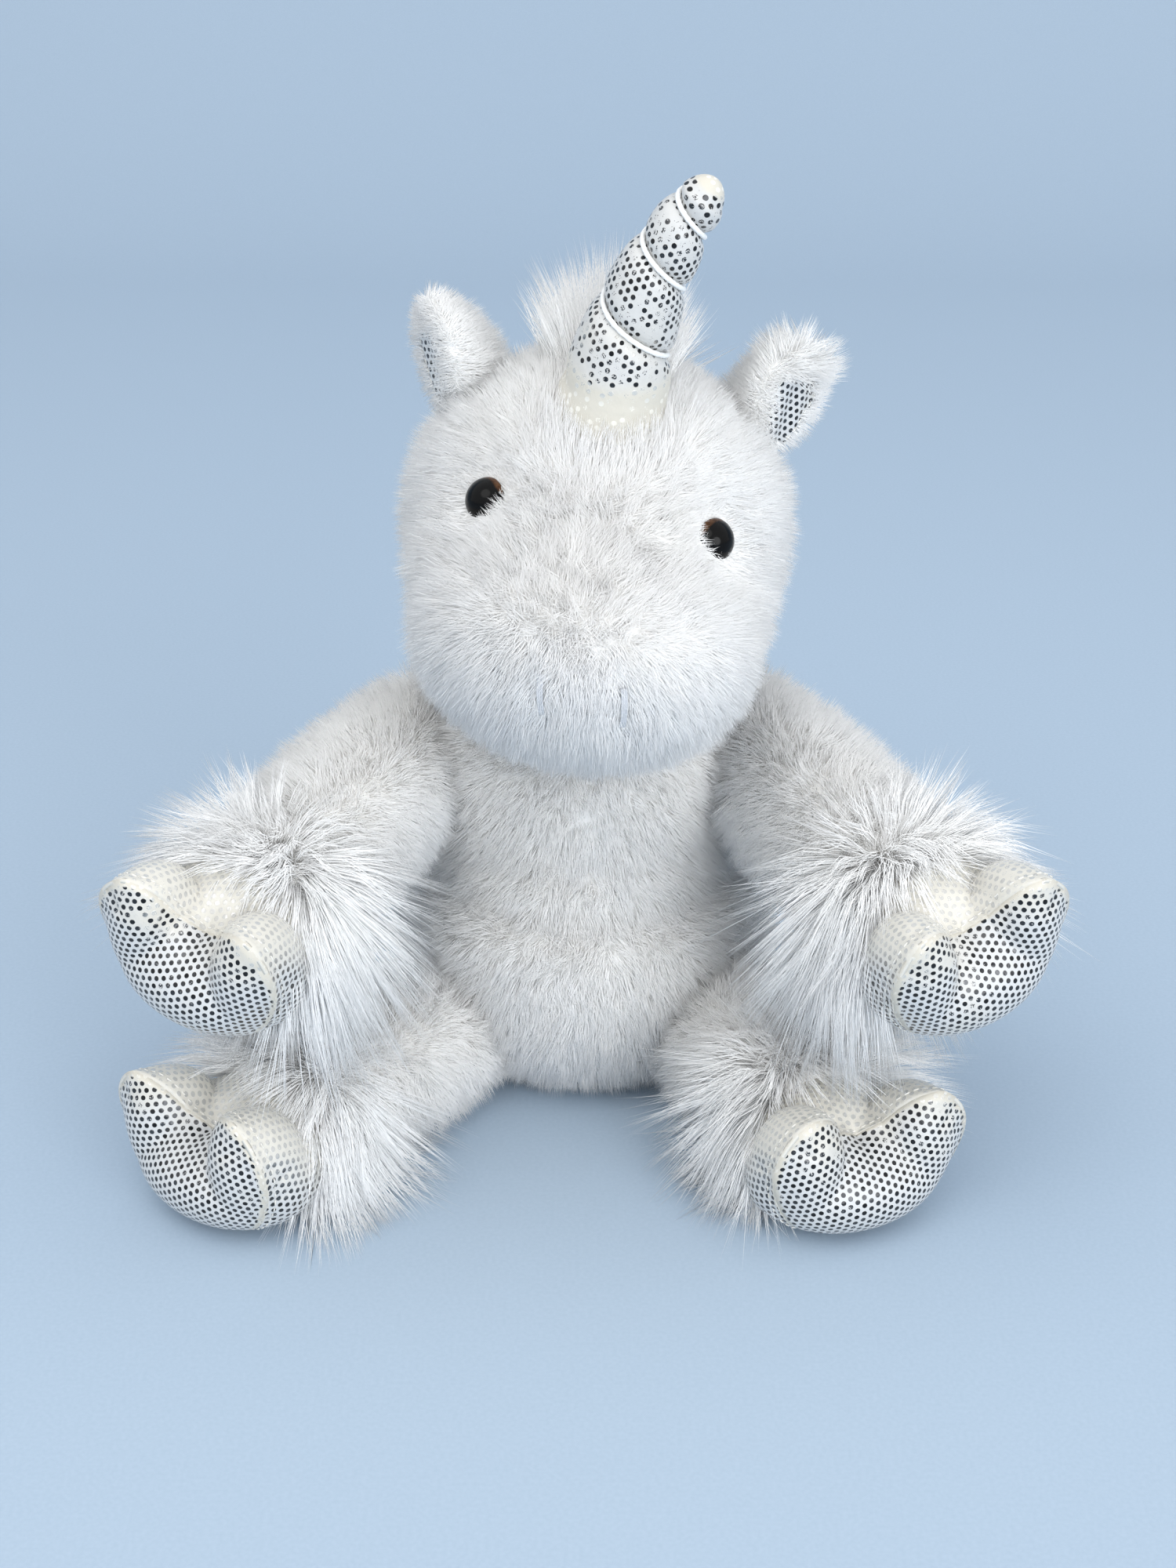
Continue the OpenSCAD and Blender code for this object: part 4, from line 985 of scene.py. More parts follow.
# %% Flat maps
def flat_map(piece, cuts):
    """Unfolds a cloth piece with as little stretch as possible, then scales its map to metres."""
    mesh = piece.data
    cuts = {tuple(sorted(c)) for c in cuts}
    for e in mesh.edges:
        e.use_seam = tuple(sorted(e.vertices)) in cuts
    mesh.uv_layers.new(name="cloth")
    bpy.ops.object.select_all(action="DESELECT")
    piece.select_set(True)
    bpy.context.view_layer.objects.active = piece
    bpy.ops.object.mode_set(mode="EDIT")
    bpy.ops.mesh.select_all(action="SELECT")
    bpy.ops.uv.unwrap(method="MINIMUM_STRETCH", margin=0.001)
    bpy.ops.object.mode_set(mode="OBJECT")
    layer = mesh.uv_layers["cloth"]
    uv = np.zeros(len(layer.uv) * 2, np.float32)
    layer.uv.foreach_get("vector", uv)
    uv = uv.reshape(-1, 2)
    flat, real = 0.0, 0.0
    for p in mesh.polygons:
        at = [uv[k] for k in p.loop_indices]
        flat += abs(sum(at[i - 1][0] * at[i][1] - at[i][0] * at[i - 1][1] for i in range(len(at)))) / 2
        real += p.area
    layer.uv.foreach_set("vector", (uv * math.sqrt(real / flat)).astype(np.float32).ravel())


def thicken(piece, millimetres):
    """Gives a sheet of cloth its thickness, inwards."""
    tool = piece.modifiers.new("cloth_thickness", "SOLIDIFY")
    tool.thickness, tool.offset, tool.use_even_offset = millimetres * MM, -1.0, False
    piece.data = worked_in(piece, tool)

# %% [markdown]
# ## Hooves
# A hoof is two panels of satin, a sole and an upper, sewn along a seam that runs up through two
# pointed toes and dips into the cleft between them. The panels start as a smooth form. A cloth
# simulation then blows them up against the pinned seam, with a little spare cloth, which gives the
# tight swell and the small puckers of a stuffed hoof. The legs' hooves are kept flat on the floor.

# %% Hoof form
SEAM, HEEL, CLEFT_HALF = 66.0, HOOF_H - TOE_H, 9.5
RIM = 180 - math.degrees(math.atan(ANKLE_D * 0.45 / HOOF_BACK))
BODY_HALF = (HEEL + TOE_H - 8) / 2
HOOF_BULGES = [((0, BODY_HALF - HEEL, 0), (HOOF_W / 2, BODY_HALF, HOOF_D / 2)),
               ((TOE_GAP / 2, TOE_H * 0.4, HOOF_D * 0.11), (HOOF_W * 0.2, TOE_H * 0.6, HOOF_D * 0.3)),
               ((-TOE_GAP / 2, TOE_H * 0.4, HOOF_D * 0.11), (HOOF_W * 0.2, TOE_H * 0.6, HOOF_D * 0.3)),
               ((0, 0, -HOOF_D * 0.25), (ANKLE_D / 2, ANKLE_D / 2, HOOF_D * 0.4))]
TOE_WAYS = [unit([x * TOE_GAP / 2 * 1.04, TOE_H * 0.98, HOOF_D * 0.295]) for x in (-1, 1)]


def hoof_reach(d):
    """The hoof's form: a padded body, two pointed toes, and a V-shaped cleft that fades down the sole."""
    r = blended([bulge_reach(d, m, h, 0.6) for m, h in HOOF_BULGES], 7)
    behind = np.degrees(np.arccos(np.clip(d[..., 2], -1, 1))) - SEAM
    for toe in TOE_WAYS:
        apart = np.degrees(np.arccos(np.clip(d @ toe, -1, 1)))
        r = r + 4.0 * np.exp(-(apart / 13) ** 1.2)
    p = d * r[..., None]
    vee = np.clip(1 - np.abs(p[..., 0]) / CLEFT_HALF, 0, 1) ** 1.2
    cleft = vee * smoothstep(p[..., 1], -6, 12) * np.exp(-np.abs(behind) / np.where(behind > 0, 20, 24))
    return np.minimum(r - 5.0 * cleft, plane_reach(d, (0, 0, -1), HOOF_BACK))


def hoof_way(theta, phi):
    return np.stack([np.sin(theta) * np.cos(phi), np.sin(theta) * np.sin(phi), np.cos(theta)], -1)


print("hoof seam at", SEAM, "degrees, rim at", round(RIM, 1))

# %% Hoof net
SPAN, UPPER_RINGS = 44, 24


def hoof_cloth():
    """Sole and upper of a hoof in its own frame, in millimetres, as one net that shares its seam."""
    line = np.linspace(-1, 1, SPAN + 1)
    a, b = np.meshgrid(line, line, indexing="ij")
    wide = np.abs(a) > np.abs(b)
    r = np.where(wide, a, b)
    phi = np.where(wide, np.pi / 4 * np.divide(b, a, out=np.zeros_like(a), where=a != 0),
                   np.pi / 2 - np.pi / 4 * np.divide(a, b, out=np.zeros_like(a), where=b != 0))
    phi, r = np.where(r < 0, phi + np.pi, phi), np.abs(r)
    ways = hoof_way(np.radians(SEAM) * r, phi).reshape(-1, 3)
    step = SPAN + 1
    rim = [(SPAN, j) for j in range(SPAN // 2, SPAN)] + [(i, SPAN) for i in range(SPAN, 0, -1)]
    rim += [(0, j) for j in range(SPAN, 0, -1)] + [(i, 0) for i in range(SPAN)]
    rim += [(SPAN, j) for j in range(SPAN // 2)]
    rim = [i * step + j for i, j in rim]
    corners = [i * step + j for i in range(SPAN) for j in range(SPAN)]
    sole = [(k, k + step, k + step + 1, k + 1) for k in corners]
    round_phi = np.arctan2(ways[rim][:, 1], ways[rim][:, 0])
    rings, nets, count = [rim], [ways], len(rim)
    for k in range(1, UPPER_RINGS + 1):
        theta = np.full(count, np.radians(SEAM + (RIM - SEAM) * k / UPPER_RINGS))
        rings.append(list(range(len(ways) + (k - 1) * count, len(ways) + k * count)))
        nets.append(hoof_way(theta, round_phi))
    upper = [(rings[k][j], rings[k + 1][j], rings[k + 1][(j + 1) % count], rings[k][(j + 1) % count])
             for k in range(UPPER_RINGS) for j in range(count)]
    ways = np.concatenate(nets)
    return ways * hoof_reach(ways)[:, None], sole, upper, rings


# %% Hoof cloth, blown up
def outward(points, faces):
    """Whether most faces point away from the middle."""
    p = points[np.array(faces)]
    return (np.cross(p[:, 1] - p[:, 0], p[:, 2] - p[:, 0]) * p.mean(1)).sum() > 0


def blown_up(points, faces, pinned, frames=18, cap=1.3):
    """The net after a cloth simulation under pressure, at ten times its size, moved by at most cap mm."""
    cloth = mesh_object("hoof_cloth_trial", points * 0.01, faces)
    held = cloth.vertex_groups.new(name="sewn")
    held.add([int(i) for i in pinned], 1.0, "REPLACE")
    tool = cloth.modifiers.new("cloth", "CLOTH")
    tool.settings.vertex_group_mass = "sewn"
    tool.settings.quality, tool.settings.mass = 5, 0.15
    tool.settings.use_pressure, tool.settings.uniform_pressure_force = True, 4.0
    tool.settings.tension_stiffness = tool.settings.compression_stiffness = 12.0
    tool.settings.shear_stiffness, tool.settings.bending_stiffness = 6.0, 0.4
    tool.settings.shrink_min = -0.035
    tool.settings.effector_weights.gravity = 0.0
    tool.point_cache.frame_start, tool.point_cache.frame_end = 1, frames
    for k in range(1, frames + 1):
        scene.frame_set(k)
    graph = bpy.context.evaluated_depsgraph_get()
    done = cloth.evaluated_get(graph).to_mesh()
    moved = np.array([v.co for v in done.vertices], float) * 100 - points
    bpy.data.objects.remove(cloth)
    scene.frame_set(1)
    far = np.linalg.norm(moved, axis=1)
    moved *= (np.minimum(far, cap) / np.maximum(far, 1e-9))[:, None]
    print("hoof cloth moved up to", round(float(far.max()), 2), "mm, kept within", cap)
    return points + moved


hoof_net, sole_faces, upper_faces, hoof_rings = hoof_cloth()
if not outward(hoof_net, sole_faces):
    sole_faces = [f[::-1] for f in sole_faces]
if not outward(hoof_net, upper_faces):
    upper_faces = [f[::-1] for f in upper_faces]
hoof_net = blown_up(hoof_net, sole_faces + upper_faces, hoof_rings[0] + hoof_rings[-1])
lift = unit(hoof_net)
lean = np.degrees(np.arccos(np.clip(lift[:, 2], -1, 1)))
toes_up = smoothstep(lift[:, 1], -0.2, 0.6)
vee = np.clip(1 - np.abs(hoof_net[:, 0]) / CLEFT_HALF, 0, 1)
off_seam = np.abs(lean - SEAM)
ridge = 0.9 * np.exp(-off_seam / 3.5)
ridge += toes_up * (1 - 0.75 * vee) * (1.4 * np.exp(-off_seam / 4) + 2.4 * np.exp(-off_seam / 15))
hoof_net = (hoof_net + lift * ridge[:, None]) * (1.08, 1, 1)
toe_apart = np.degrees(np.arccos(np.clip(np.max([lift @ toe for toe in TOE_WAYS], 0), -1, 1)))
# Along the seam the foil comes off. Round the toes the cloth is partly bare: creamier, more worn, and with
# its dots painted bright, a painted glint.
seam_bare = np.maximum(np.exp(-(off_seam / 1.5) ** 2), 0.35 * np.exp(-(toe_apart / 18) ** 2))
print("hoof spans", np.round(hoof_net.max(0) - hoof_net.min(0), 1).tolist(), "mm")

# %% [markdown]
# ## Topstitching
# A row of short white stitches runs beside each hoof's seam and along the hem of each ear's lining.
# Every stitch could be placed by hand. Geometry Nodes instead repeat one small stitch at an even pitch
# along any path, turned to follow it, so one tree sews every row.

# %% Stitches along a path, as a Geometry Nodes tree
STITCH_R, STITCH_HALF, STITCH_PITCH = 0.2, 0.85, 2.6


def stitch_tree():
    """Repeats one stitch along a path."""
    tree, sockets, given = node_group(
        "row_of_stitches", "GeometryNodeTree",
        (("Path", "Geometry", None), ("Stitch", "Object", None), ("Pitch", "Float", STITCH_PITCH * MM),
         ("Thread", "Material", None)),
        [("Row", "Geometry")])
    path = add_node(tree, "GeometryNodeMeshToCurve", {"Mesh": given["Path"]}).outputs[0]
    places = add_node(tree, "GeometryNodeCurveToPoints", {"Curve": path, "Length": given["Pitch"]},
                      mode="LENGTH")
    shape = add_node(tree, "GeometryNodeObjectInfo", {"Object": given["Stitch"]})
    inputs = {"Points": places.outputs["Points"], "Instance": shape.outputs["Geometry"],
              "Rotation": places.outputs["Rotation"]}
    row = add_node(tree, "GeometryNodeInstanceOnPoints", inputs).outputs[0]
    row = add_node(tree, "GeometryNodeRealizeInstances", {0: row}).outputs[0]
    row = add_node(tree, "GeometryNodeSetMaterial", {"Geometry": row, "Material": given["Thread"]}).outputs[0]
    add_node(tree, "NodeGroupOutput", {0: row})
    return tree, sockets


STITCHES, STITCH_SOCKETS = stitch_tree()
rings = []
for a in np.linspace(0, np.pi, 7)[1:-1]:
    r = STITCH_R * math.sin(a) ** 0.6
    rings.append([(r * math.cos(t), r * math.sin(t), -STITCH_HALF * math.cos(a)) for t in full_turn(6)])
points, faces = tube(rings)
stitch = mesh_object("one_stitch", points * MM, faces)
scene.collection.objects.unlink(stitch)
print("one stitch with", len(faces), "faces")


# %% Rows of stitches
def stitched(name, points, closed):
    """A row of stitches along a line of points in millimetres."""
    mesh = bpy.data.meshes.new(name)
    edges = [(i, i + 1) for i in range(len(points) - 1)] + ([(len(points) - 1, 0)] if closed else [])
    mesh.from_pydata([tuple(p * MM) for p in points], edges, [])
    piece = bpy.data.objects.new(name, mesh)
    scene.collection.objects.link(piece)
    tool = piece.modifiers.new("stitches", "NODES")
    tool.node_group = STITCHES
    for title, value in (("Stitch", stitch), ("Thread", thread_white)):
        tool[STITCH_SOCKETS[title]] = value
    piece.data = worked_in(piece, tool, keep_layers=False)
    piece.data.shade_smooth()
    return piece

# %% [markdown]
# ## The four hooves
# All four hooves are the same sewn shape, so one net is placed at the end of each limb and cut into
# its two panels. Each panel is unfolded flat for its dots, gets the thickness of cloth, and is sewn
# with a row of stitches beside the seam.

# %% Four hooves
FLOOR_GAP = 0.25


def part_of(name, points, faces):
    """One panel cut out of the net, with its own numbering."""
    used = sorted({i for f in faces for i in f})
    number = {old: new for new, old in enumerate(used)}
    return mesh_object(name, points[used] * MM, [tuple(number[i] for i in f) for f in faces]), number


def placed_hoof(limb):
    """The net at the end of a limb. An arm's hoof is turned a little, and a leg's rests on the floor."""
    own = limb["frame"]
    if limb["arm"]:
        own = np.array([turned(axis, own[2], limb["side"] * 16) for axis in own])
        net = hoof_net * (0.94, 0.95, 1)
    else:
        net = hoof_net.copy()
        net[:, 1] = (net[:, 1] + HEEL) * 0.87 - HEEL
    placed = limb["pivot"] + limb["along"] * limb["length"] + net @ own
    if not limb["arm"]:
        low = FLOOR_GAP + 0.25 * np.maximum(placed[:, 2] - FLOOR_GAP, 0) / 3
        placed[:, 2] = np.maximum(placed[:, 2], low)
    return placed


seam = hoof_net[hoof_rings[0]]
heel = int(np.argmin(seam[:, 1] + np.abs(seam[:, 0])))
for name, limb in LIMBS.items():
    placed = placed_hoof(limb)
    sole, number = part_of(f"{name}_hoof_sole_satin", placed, sole_faces)
    flat_map(sole, [])
    store(sole, "bare", seam_bare[sorted(number)])
    upper, number = part_of(f"{name}_hoof_upper_satin", placed, upper_faces)
    flat_map(upper, [(number[a[heel]], number[b[heel]]) for a, b in zip(hoof_rings, hoof_rings[1:])])
    store(upper, "bare", seam_bare[sorted(number)])
    for piece in (sole, upper):
        # The faces of the upper panel that turn up are stored to fade to beige with pale grey foil, more the
        # more they face up: partly the panel's own tone, partly a painted reflection.
        facing = np.array([v.normal for v in piece.data.vertices])[:, 2]
        store(piece, "beige_and_lit", smoothstep(facing, -0.2, 0.45) * (piece is upper))
        piece.data.materials.append(satin)
        thicken(piece, 1.0)
        piece.data.shade_smooth()
        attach(piece, name)
    line = placed[hoof_rings[2]]
    line = line + 0.1 * unit(line - placed[hoof_rings[0]].mean(0))
    line[:, 2] = np.maximum(line[:, 2], 0.5)
    row = stitched(f"{name}_hoof_topstitch", line, closed=True)
    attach(row, name)
    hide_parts(f"{name}_hoof_sole", f"{name}_hoof_stuffing")
    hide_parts(f"{name}_hoof_upper")
    print(name, "hoof sewn, lowest point", round(float(placed[:, 2].min()), 2), "mm")

# %% [markdown]
# ## Horn
# The horn is a bent, stuffed cone of the same satin. A white cord is wound round it from root to
# tip and pulls the satin in, so the cloth swells between the turns. The form is worked out ring by
# ring along the bent line, and the pull of the cord is a dip that follows the same winding.

# %% Horn form
HORN_L, HORN_TILT, HORN_BEND, HORN_ROOT_D, HORN_TIP_D = 61.0, 4.0, 28.0, 27, 10
HORN_SIDE = CROWN_FRAME[0]
BEND_R = HORN_L / math.radians(HORN_BEND)
CORD_TURNS, CORD_FROM, CORD_TO, CORD_D = 3.0, 0.1, 0.9, 1.3
CORD_PHASE, CORD_CROWDING = 108.0, 0.4


def horn_spine(s):
    a = np.radians(HORN_TILT + HORN_BEND * s / HORN_L)[..., None]
    t = math.radians(HORN_TILT)
    aside = HORN_SIDE * BEND_R * (math.cos(t) - np.cos(a))
    return HORN_ROOT + aside + HORN_UP * BEND_R * (np.sin(a) - math.sin(t))


def horn_radius(s):
    share = np.clip(s / HORN_L, 0, 1)
    tip = np.maximum(0, share - 0.9) / 0.1
    wide = HORN_ROOT_D + (HORN_TIP_D - HORN_ROOT_D) * share ** 0.95
    return wide / 2 * np.sqrt(np.maximum(0, 1 - tip * tip))


def horn_point(s, turn, radius):
    a = np.radians(HORN_TILT + HORN_BEND * s / HORN_L)[..., None]
    along = HORN_SIDE * np.sin(a) + HORN_UP * np.cos(a)
    across = HORN_SIDE * np.cos(a) - HORN_UP * np.sin(a)
    out = across * np.cos(turn)[..., None] + np.cross(along, across) * np.sin(turn)[..., None]
    return horn_spine(s) + out * radius[..., None]


def cord_pull(s, turn):
    """How far the cord draws the satin in, and how far the satin swells between its turns."""
    far = np.clip((s / HORN_L - CORD_FROM) / (CORD_TO - CORD_FROM), -0.3, 1.15)
    root = np.sqrt((1 + CORD_CROWDING) ** 2 - 4 * CORD_CROWDING * far)
    share = (1 + CORD_CROWDING - root) / (2 * CORD_CROWDING)
    apart = np.mod(np.degrees(turn) - CORD_PHASE + 360 * CORD_TURNS * share, 360)
    pitch = HORN_L * (CORD_TO - CORD_FROM) * (1 + CORD_CROWDING - 2 * CORD_CROWDING * share) / CORD_TURNS
    apart = np.minimum(apart, 360 - apart) / 360 * pitch
    held = smoothstep(share, -0.12, 0.0) * (1 - smoothstep(share, 1.0, 1.06))
    return held * (1.0 * (1 - np.exp(-(apart / 3.6) ** 2)) - 1.7 * np.exp(-(apart / 1.6) ** 2))

# %% Horn satin
HORN_SIDES = 72
HORN_SEAM = HORN_SIDES // 4
tip_levels = HORN_L * (1 - 0.07 * (1 - np.sin(np.linspace(0.08, 1.55, 14))))
levels = np.concatenate([np.linspace(-9, HORN_L * 0.93, 116), tip_levels])
turn = full_turn(HORN_SIDES)
rings = []
for level in levels:
    s = np.full(HORN_SIDES, level)
    r = horn_radius(s) + 0.8 * smoothstep(-s, -4, 5)
    rings.append(horn_point(s, turn, np.maximum(r + cord_pull(s, turn) * np.minimum(r / 3, 1), 0.15)))
points, faces = tube(rings)
horn = mesh_object("horn_satin", points * MM, faces)
seam = [HORN_SIDES * k + HORN_SEAM for k in range(len(levels))]
flat_map(horn, [*zip(seam, seam[1:]), *((j, (j + 1) % HORN_SIDES) for j in range(HORN_SIDES))])
far = np.concatenate([np.repeat(levels, HORN_SIDES), levels[[0, -1]]])
wave = np.concatenate([np.tile(np.sin(turn - 2.6), len(levels)), [0, 0]])
worn_root = 1 - smoothstep(far + 3 * wave, 1, 13)
store(horn, "bare", np.maximum(worn_root, smoothstep(far, HORN_L * 0.93, HORN_L * 0.99)))
horn.data.materials.append(worn_glinting_satin)
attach(horn, "head")
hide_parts("horn_cover", "horn_stuffing")
print("horn with", len(faces), "faces")

# %% Horn cord
steps = np.linspace(0, 1, int(CORD_TURNS * 64))
s = HORN_L * (CORD_FROM + (CORD_TO - CORD_FROM) * (steps + CORD_CROWDING * steps * (1 - steps)))
turn = math.radians(CORD_PHASE) - 2 * np.pi * CORD_TURNS * steps
line = horn_point(s, turn, horn_radius(s) - 0.7)
along = unit(np.gradient(line, axis=0))
out = unit(line - horn_spine(s))
across = np.cross(along, out)
run = np.concatenate([[0], np.cumsum(np.linalg.norm(np.diff(line, axis=0), axis=1))])
a = full_turn(14)
rings = []
for i in range(len(line)):
    r = CORD_D / 2 * (1 + 0.10 * np.cos(2 * (a - run[i] * 1.9)))
    end = min(1.0, (min(run[i], run[-1] - run[i]) / 0.8 + 0.25) ** 0.5)
    way = np.cos(a)[:, None] * out[i] + np.sin(a)[:, None] * across[i]
    rings.append(line[i] + way * (r * end)[:, None])
points, faces = tube(rings)
cord = mesh_object("horn_cord_wound", points * MM, [f[::-1] for f in faces])
cord_white, tree, shader, ply = grained("white_cord", 1800.0, (0.86, 0.855, 0.84), (0.95, 0.95, 0.94))
set_shader(tree, shader, Normal=bumped(tree, ply, 0.3, 0.0002), Roughness=0.5, Sheen_Weight=0.2)
cord.data.materials.append(cord_white)
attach(cord, "head")
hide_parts("horn_cord")
print("horn cord", round(float(run[-1])), "mm long")

# %% [markdown]
# ## Ears
# Each ear is a small curled leaf, plush behind and lined with dotted satin on the side that faces
# out. The lining is a shallow dish set into the front of the leaf, and the pile curls over its rim.
# The leaf could be bent from a flat sheet. Rings laid up its height are simpler, because its width,
# its hollow and its thickness can each follow a curve of their own.

# %% Ear form
EAR_H, EAR_W, DISH, LINING_FROM, LINING_TO = 28.0, 30.0, 1.2, 0.02, 0.68


def ear_half_w(u):
    return EAR_W / 2 * np.sqrt(np.maximum(np.sin(np.pi * (0.12 + 0.86 * u)), 0))


def dished(x):
    """How far the ear's front is hollowed at its sides."""
    return DISH * (2 * x / EAR_W) ** 2


def lining_half(u):
    """Half the lining's width: a shield, narrow at the root and rounded at the top."""
    u = np.asarray(u)
    v = np.clip((u - LINING_FROM) / (LINING_TO - LINING_FROM), 0, 1)
    return np.where((u > LINING_FROM) & (u < LINING_TO), (3.5 + 6.5 * v ** 0.8) * np.sqrt(1 - v ** 6), 0)


def ear_place(sign, yaw, lower):
    """The root of an ear on the head and its axes: across, to the back and up."""
    tilt, away, y = math.radians(17), math.radians(lower), math.radians(yaw)
    up = crown_way(sign * math.sin(tilt), 0.1, math.cos(tilt))
    across = unit(np.cross(up, np.array([sign * math.sin(y), -math.cos(y), 0])))
    root = on_head(crown_way(sign * math.sin(away), 0.16, math.cos(away))[None])[0]
    return root, np.array([across, np.cross(up, across), up])


EARS = {"left": (1, *ear_place(1, 42, 56)), "right": (-1, *ear_place(-1, 68, 53))}
print("ears at", {side: np.round(root).tolist() for side, (sign, root, axes) in EARS.items()})


# %% Ear leaf and coat
def ear_leaf(side, sign, root, axes, seed):
    """The plush leaf of an ear, with its pile left off where the lining lies."""
    turn, rings = full_turn(40), []
    for u in np.concatenate([np.linspace(-0.12, 0.84, 26), 0.84 + 0.1 * np.sin(np.linspace(0.15, 1.5, 8))]):
        top = math.sqrt(max(0.0, 1 - (max(u - 0.6, 0) / 0.36) ** 2.2))
        x = (ear_half_w(max(u, 0.0)) - 3.2) * top * np.cos(turn)
        back = (2.5 + 9 * (1 - max(u, 0.0)) ** 1.1) * top
        y = np.where(np.sin(turn) < 0, 2.6 * top, back) * np.sin(turn) - dished(x)
        rings.append(root + np.stack([x, y, np.full(len(turn), EAR_H * u)], 1) @ axes)
    points, faces = tube(rings)
    leaf = mesh_object(f"{side}_ear_plush", points * MM, faces)
    if not outward(points - points.mean(0), faces[:1000]):
        leaf.data.flip_normals()
    leaf.data.materials.append(backing)
    x, y, z = ((points - root) @ axes.T).T
    lined = (y + dished(x) < -0.15) & (np.abs(x) < lining_half(z / EAR_H) - 0.5)
    grows = np.where(lined | (z < -1), 0.0, 1.0)
    comb = combed(points, root + axes[2] * 8, axes[2] * 0.5 + axes[1] * 0.7)
    beside = (1 - smoothstep(y, -1, 8)) * (1 - (sign > 0) * smoothstep(z / EAR_H, 0.6, 0.75))
    coat = grow(leaf, f"{side}_ear_pile", grows, 1.15 - 0.65 * beside, comb, seed, Tufts=short_tufts,
                Uneven=0.25, Clump=0.15, Lock=0.1, Spacing=0.0010)
    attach(leaf, f"{side}_ear")
    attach(coat, f"{side}_ear")
    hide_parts(f"{side}_ear_back")


# %% Ear lining and hem
EAR_NET = 25


def ear_lining(side, root, axes):
    """The dotted lining of an ear, a little rippled, and the stitches along its hem."""
    net = []
    for v in np.linspace(0, 1, EAR_NET):
        u = 0.03 + 0.64 * v
        x = np.linspace(-1, 1, EAR_NET) * max(float(lining_half(u)), 0.8)
        y = -2.6 * np.sqrt(np.maximum(0.0, 1 - (x / (ear_half_w(u))) ** 2)) - dished(x) - 0.9
        y += 0.35 * np.sin(0.9 * x + 3 * v)
        net.append(root + np.stack([x, y, np.full(EAR_NET, EAR_H * u)], 1) @ axes)
    net = np.array(net)
    corners = [EAR_NET * i + j for i in range(EAR_NET - 1) for j in range(EAR_NET - 1)]
    lining = mesh_object(f"{side}_ear_lining_satin", net.reshape(-1, 3) * MM,
                         [(k, k + 1, k + EAR_NET + 1, k + EAR_NET) for k in corners])
    if np.cross(net[1, 1] - net[1, 0], net[2, 0] - net[1, 0]) @ axes[1] > 0:
        lining.data.flip_normals()
    flat_map(lining, [])
    lining.data.materials.append(satin)
    thicken(lining, 0.9)
    lining.data.shade_smooth()
    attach(lining, f"{side}_ear")
    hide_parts(f"{side}_ear_lining")
    hem = np.concatenate([net[2:, 1], net[-2, 2:-2], net[:1:-1, -2]])
    row = stitched(f"{side}_ear_hem_stitches", hem - 0.1 * axes[1], closed=False)
    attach(row, f"{side}_ear")


for number, (side, (sign, root, axes)) in enumerate(EARS.items()):
    ear_leaf(side, sign, root, axes, 40 + number)
    ear_lining(side, root, axes)

# %% [markdown]
# ## Eyes, washers and nostrils
# The eyes are moulded domes, black with a thin brown ring near the rim that shows along its upper
# edge, under a hard clear gloss. Each is turned from a profile, and a value stored on its points
# carries the ring of colour outwards.

# %% Eyes
EYE_R, EYE_H, EYE_SUNK = 6.0, 5.0, 2.6
eye_gloss, tree, shader = new_material("eye_gloss")
streak = noise(tree, 900.0, 3.0)
brown = ramp(tree, streak, 0.3, 0.7, (0.040, 0.018, 0.009), (0.130, 0.060, 0.026))
set_shader(tree, shader, Roughness=maths(tree, "MULTIPLY_ADD", streak, 0.08, 0.10),
           Base_Color=ramp(tree, attribute(tree, "rim"), 0.88, 0.95, (0.003, 0.003, 0.003), brown),
           Specular_IOR_Level=0.12, Coat_Weight=0.04, Coat_Roughness=0.03)
ball = (EYE_R ** 2 + EYE_H ** 2) / (2 * EYE_H)
angles = np.linspace(0.0, 1.0, 22)[1:] * math.acos((ball - EYE_H) / ball)
profile = [(ball * math.sin(a), ball * math.cos(a) - (ball - EYE_H)) for a in angles]
profile += [(5.7, -0.8), (2.0, -1.0), (2.0, -3.5)]
for side, (at, normal) in EYES.items():
    axes = frame_along(normal)
    ways = [np.cos(t) * axes[0] + np.sin(t) * axes[1] for t in full_turn(48)]
    points, faces = tube([[at + way * r + normal * (h - EYE_SUNK) for way in ways] for r, h in profile[::-1]])
    eye = mesh_object(f"{side}_eye_dome", points * MM, faces)
    across = (points - at) - ((points - at) @ normal)[:, None] * normal
    raised = across @ axes[1] / EYE_R + 0.3 * np.sign(normal[0]) * across[:, 0] / EYE_R
    raised = 0.82 + 0.18 * smoothstep(raised, -0.1, 0.5)
    store(eye, "rim", np.linalg.norm(across, axis=1) / EYE_R * raised)
    eye.data.materials.append(eye_gloss)
    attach(eye, "head")
    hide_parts(f"{side}_eye")
    print(side, "eye", 2 * EYE_R, "mm across")

# %% Washers stay as packed, in pale moulded plastic
washer, tree, shader, flow = grained("washer_plastic", 300.0, (0.72, 0.72, 0.70), (0.80, 0.80, 0.78))
set_shader(tree, shader, Roughness=maths(tree, "MULTIPLY_ADD", flow, 0.2, 0.25))
for side in ("left", "right"):
    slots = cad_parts[f"{side}_eye_washer"].data.materials
    slots.clear()
    slots.append(washer)
print("washers in", washer.name)

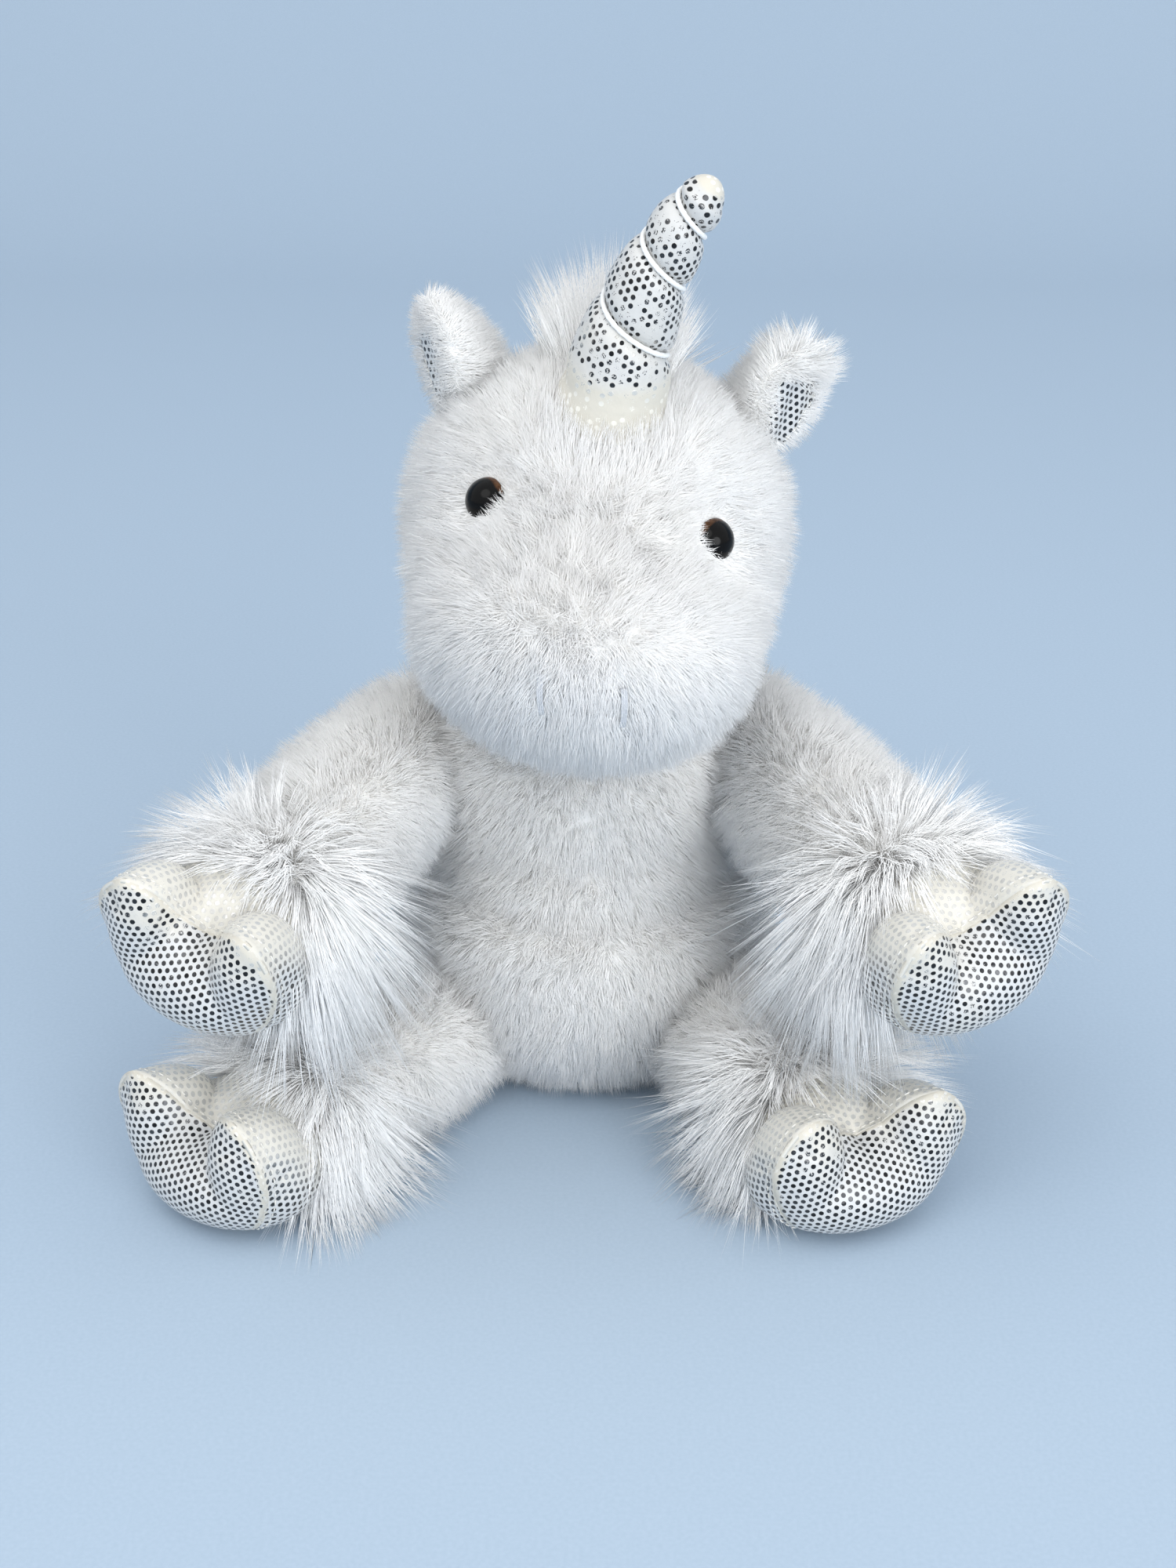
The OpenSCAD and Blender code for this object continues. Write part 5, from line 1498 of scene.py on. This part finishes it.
# %% Nostril threads
THREAD_R, THREAD_HALF = 0.32, 5.5
points, faces = [], []
for way in NOSTRIL_WAYS:
    at, normal = on_head(way[None])[0], head_normal(way)
    axes = frame_along(normal)
    around_thread = [(axes[0] * math.cos(t) + normal * math.sin(t)) * THREAD_R for t in full_turn(8)]
    for beside in (-0.5, 0.0, 0.5):
        line = [at + axes[0] * beside + axes[1] * y - normal * (1.2 + 1.6 * (y / THREAD_HALF) ** 2)
                for y in np.linspace(-THREAD_HALF, THREAD_HALF, 18)]
        more, net = tube([[p + out for out in around_thread] for p in line])
        faces += [tuple(i + len(points) for i in f[::-1]) for f in net]
        points += list(more)
threads = mesh_object("nostril_threads", np.array(points) * MM, faces)
thread_grey, tree, shader, _ = grained("nostril_thread", 1500.0, (0.50, 0.52, 0.55), (0.62, 0.64, 0.67))
set_shader(tree, shader, Roughness=0.5)
threads.data.materials.append(thread_grey)
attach(threads, "head")
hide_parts("nostril_stitches")
print("nostril threads with", len(faces), "faces")

# %% [markdown]
# ## Mane and tail
# A strip of long pile stands up behind the horn and runs down to the nape, and a tuft of it hangs
# behind the seat. Both use the long tufts: the mane on the head's own skin, the tail on a small core.

# %% Mane
points = np.array([v.co for v in head.data.vertices], float) / MM
way = unit(points - HEAD_MIDDLE) @ CROWN_FRAME.T
lean = np.degrees(np.arctan2(way[:, 1], way[:, 2]))
aside = np.abs(way[:, 0]) / np.hypot(way[:, 1], way[:, 2])
strip = (aside < 0.32) & (lean > -8) & (lean < 112)
nape = np.clip((lean - 5) / 105, 0, 1)[:, None]
comb = combed(points, HEAD_MIDDLE, (0, 0.25, 0.15)) * (1 - nape)
comb += combed(points, HEAD_MIDDLE, (0, 0, -1)) * 2.8 * nape
comb += (1.4 * way[:, :1] - 0.15) * (1 - 0.8 * smoothstep(lean, 12, 40))[:, None] * CROWN_FRAME[0]
length = 1.0 - 0.45 * smoothstep(lean, 40, 112) - 0.3 * smoothstep(aside, 0.1, 0.32)
mane = grow(head, "mane_pile", np.where(strip, 1.0, 0.0), length, comb, 50, Tufts=long_tufts,
            Spacing=0.0010, Density=4.0e6, Length=0.036, Comb=0.5, Stray=0.18, Clump=0.4, Lock=0.35,
            Droop=0.12, Lock_Scale=150.0)
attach(mane, "head")
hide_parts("mane")

# %% Tail
tail_way = unit([0, 1, -0.4])
tail_root = TORSO_MIDDLE + tail_way * (torso_reach(tail_way[None])[0] + 0.9)
drop = math.radians(42)
axes = frame_along(np.array([0, math.cos(drop), -math.sin(drop)]))
ways = [axes[0] * math.cos(t) + axes[1] * math.sin(t) for t in full_turn(28)]
rings = []
for u in np.linspace(0.0, 1.0, 22):
    r = 0.6 + 6.4 * math.sin(math.pi * (0.12 + 0.86 * u)) ** 0.8
    rings.append([tail_root + way * r + axes[2] * (24 * u - 3) for way in ways])
points, faces = tube(rings)
core = mesh_object("tail_core", points * MM, faces)
core.data.materials.append(backing)
run = (points - tail_root) @ axes[2]
comb = np.repeat(axes[2][None], len(points), 0) * (0.9 + 0.6 * smoothstep(run, 0, 20))[:, None]
length = 0.7 + 0.3 * smoothstep(run, 0, 15)
tail = grow(core, "tail_pile", np.where(run > -1, 1.0, 0.0), length, comb, 60, Tufts=long_tufts,
            Spacing=0.0012, Length=0.026, Comb=1.0, Stray=0.18, Clump=0.5, Lock=0.55, Droop=0.25,
            Lock_Scale=150.0)
for piece in (core, tail):
    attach(piece, "tail")
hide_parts("tail")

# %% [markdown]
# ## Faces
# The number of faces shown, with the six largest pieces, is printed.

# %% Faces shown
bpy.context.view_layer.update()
shown = {o.name: len(o.data.polygons) for o in scene.objects if o.type == "MESH" and not o.hide_render}
print("shown faces:", sum(shown.values()), "largest:", sorted(shown.items(), key=lambda k: -k[1])[:6])
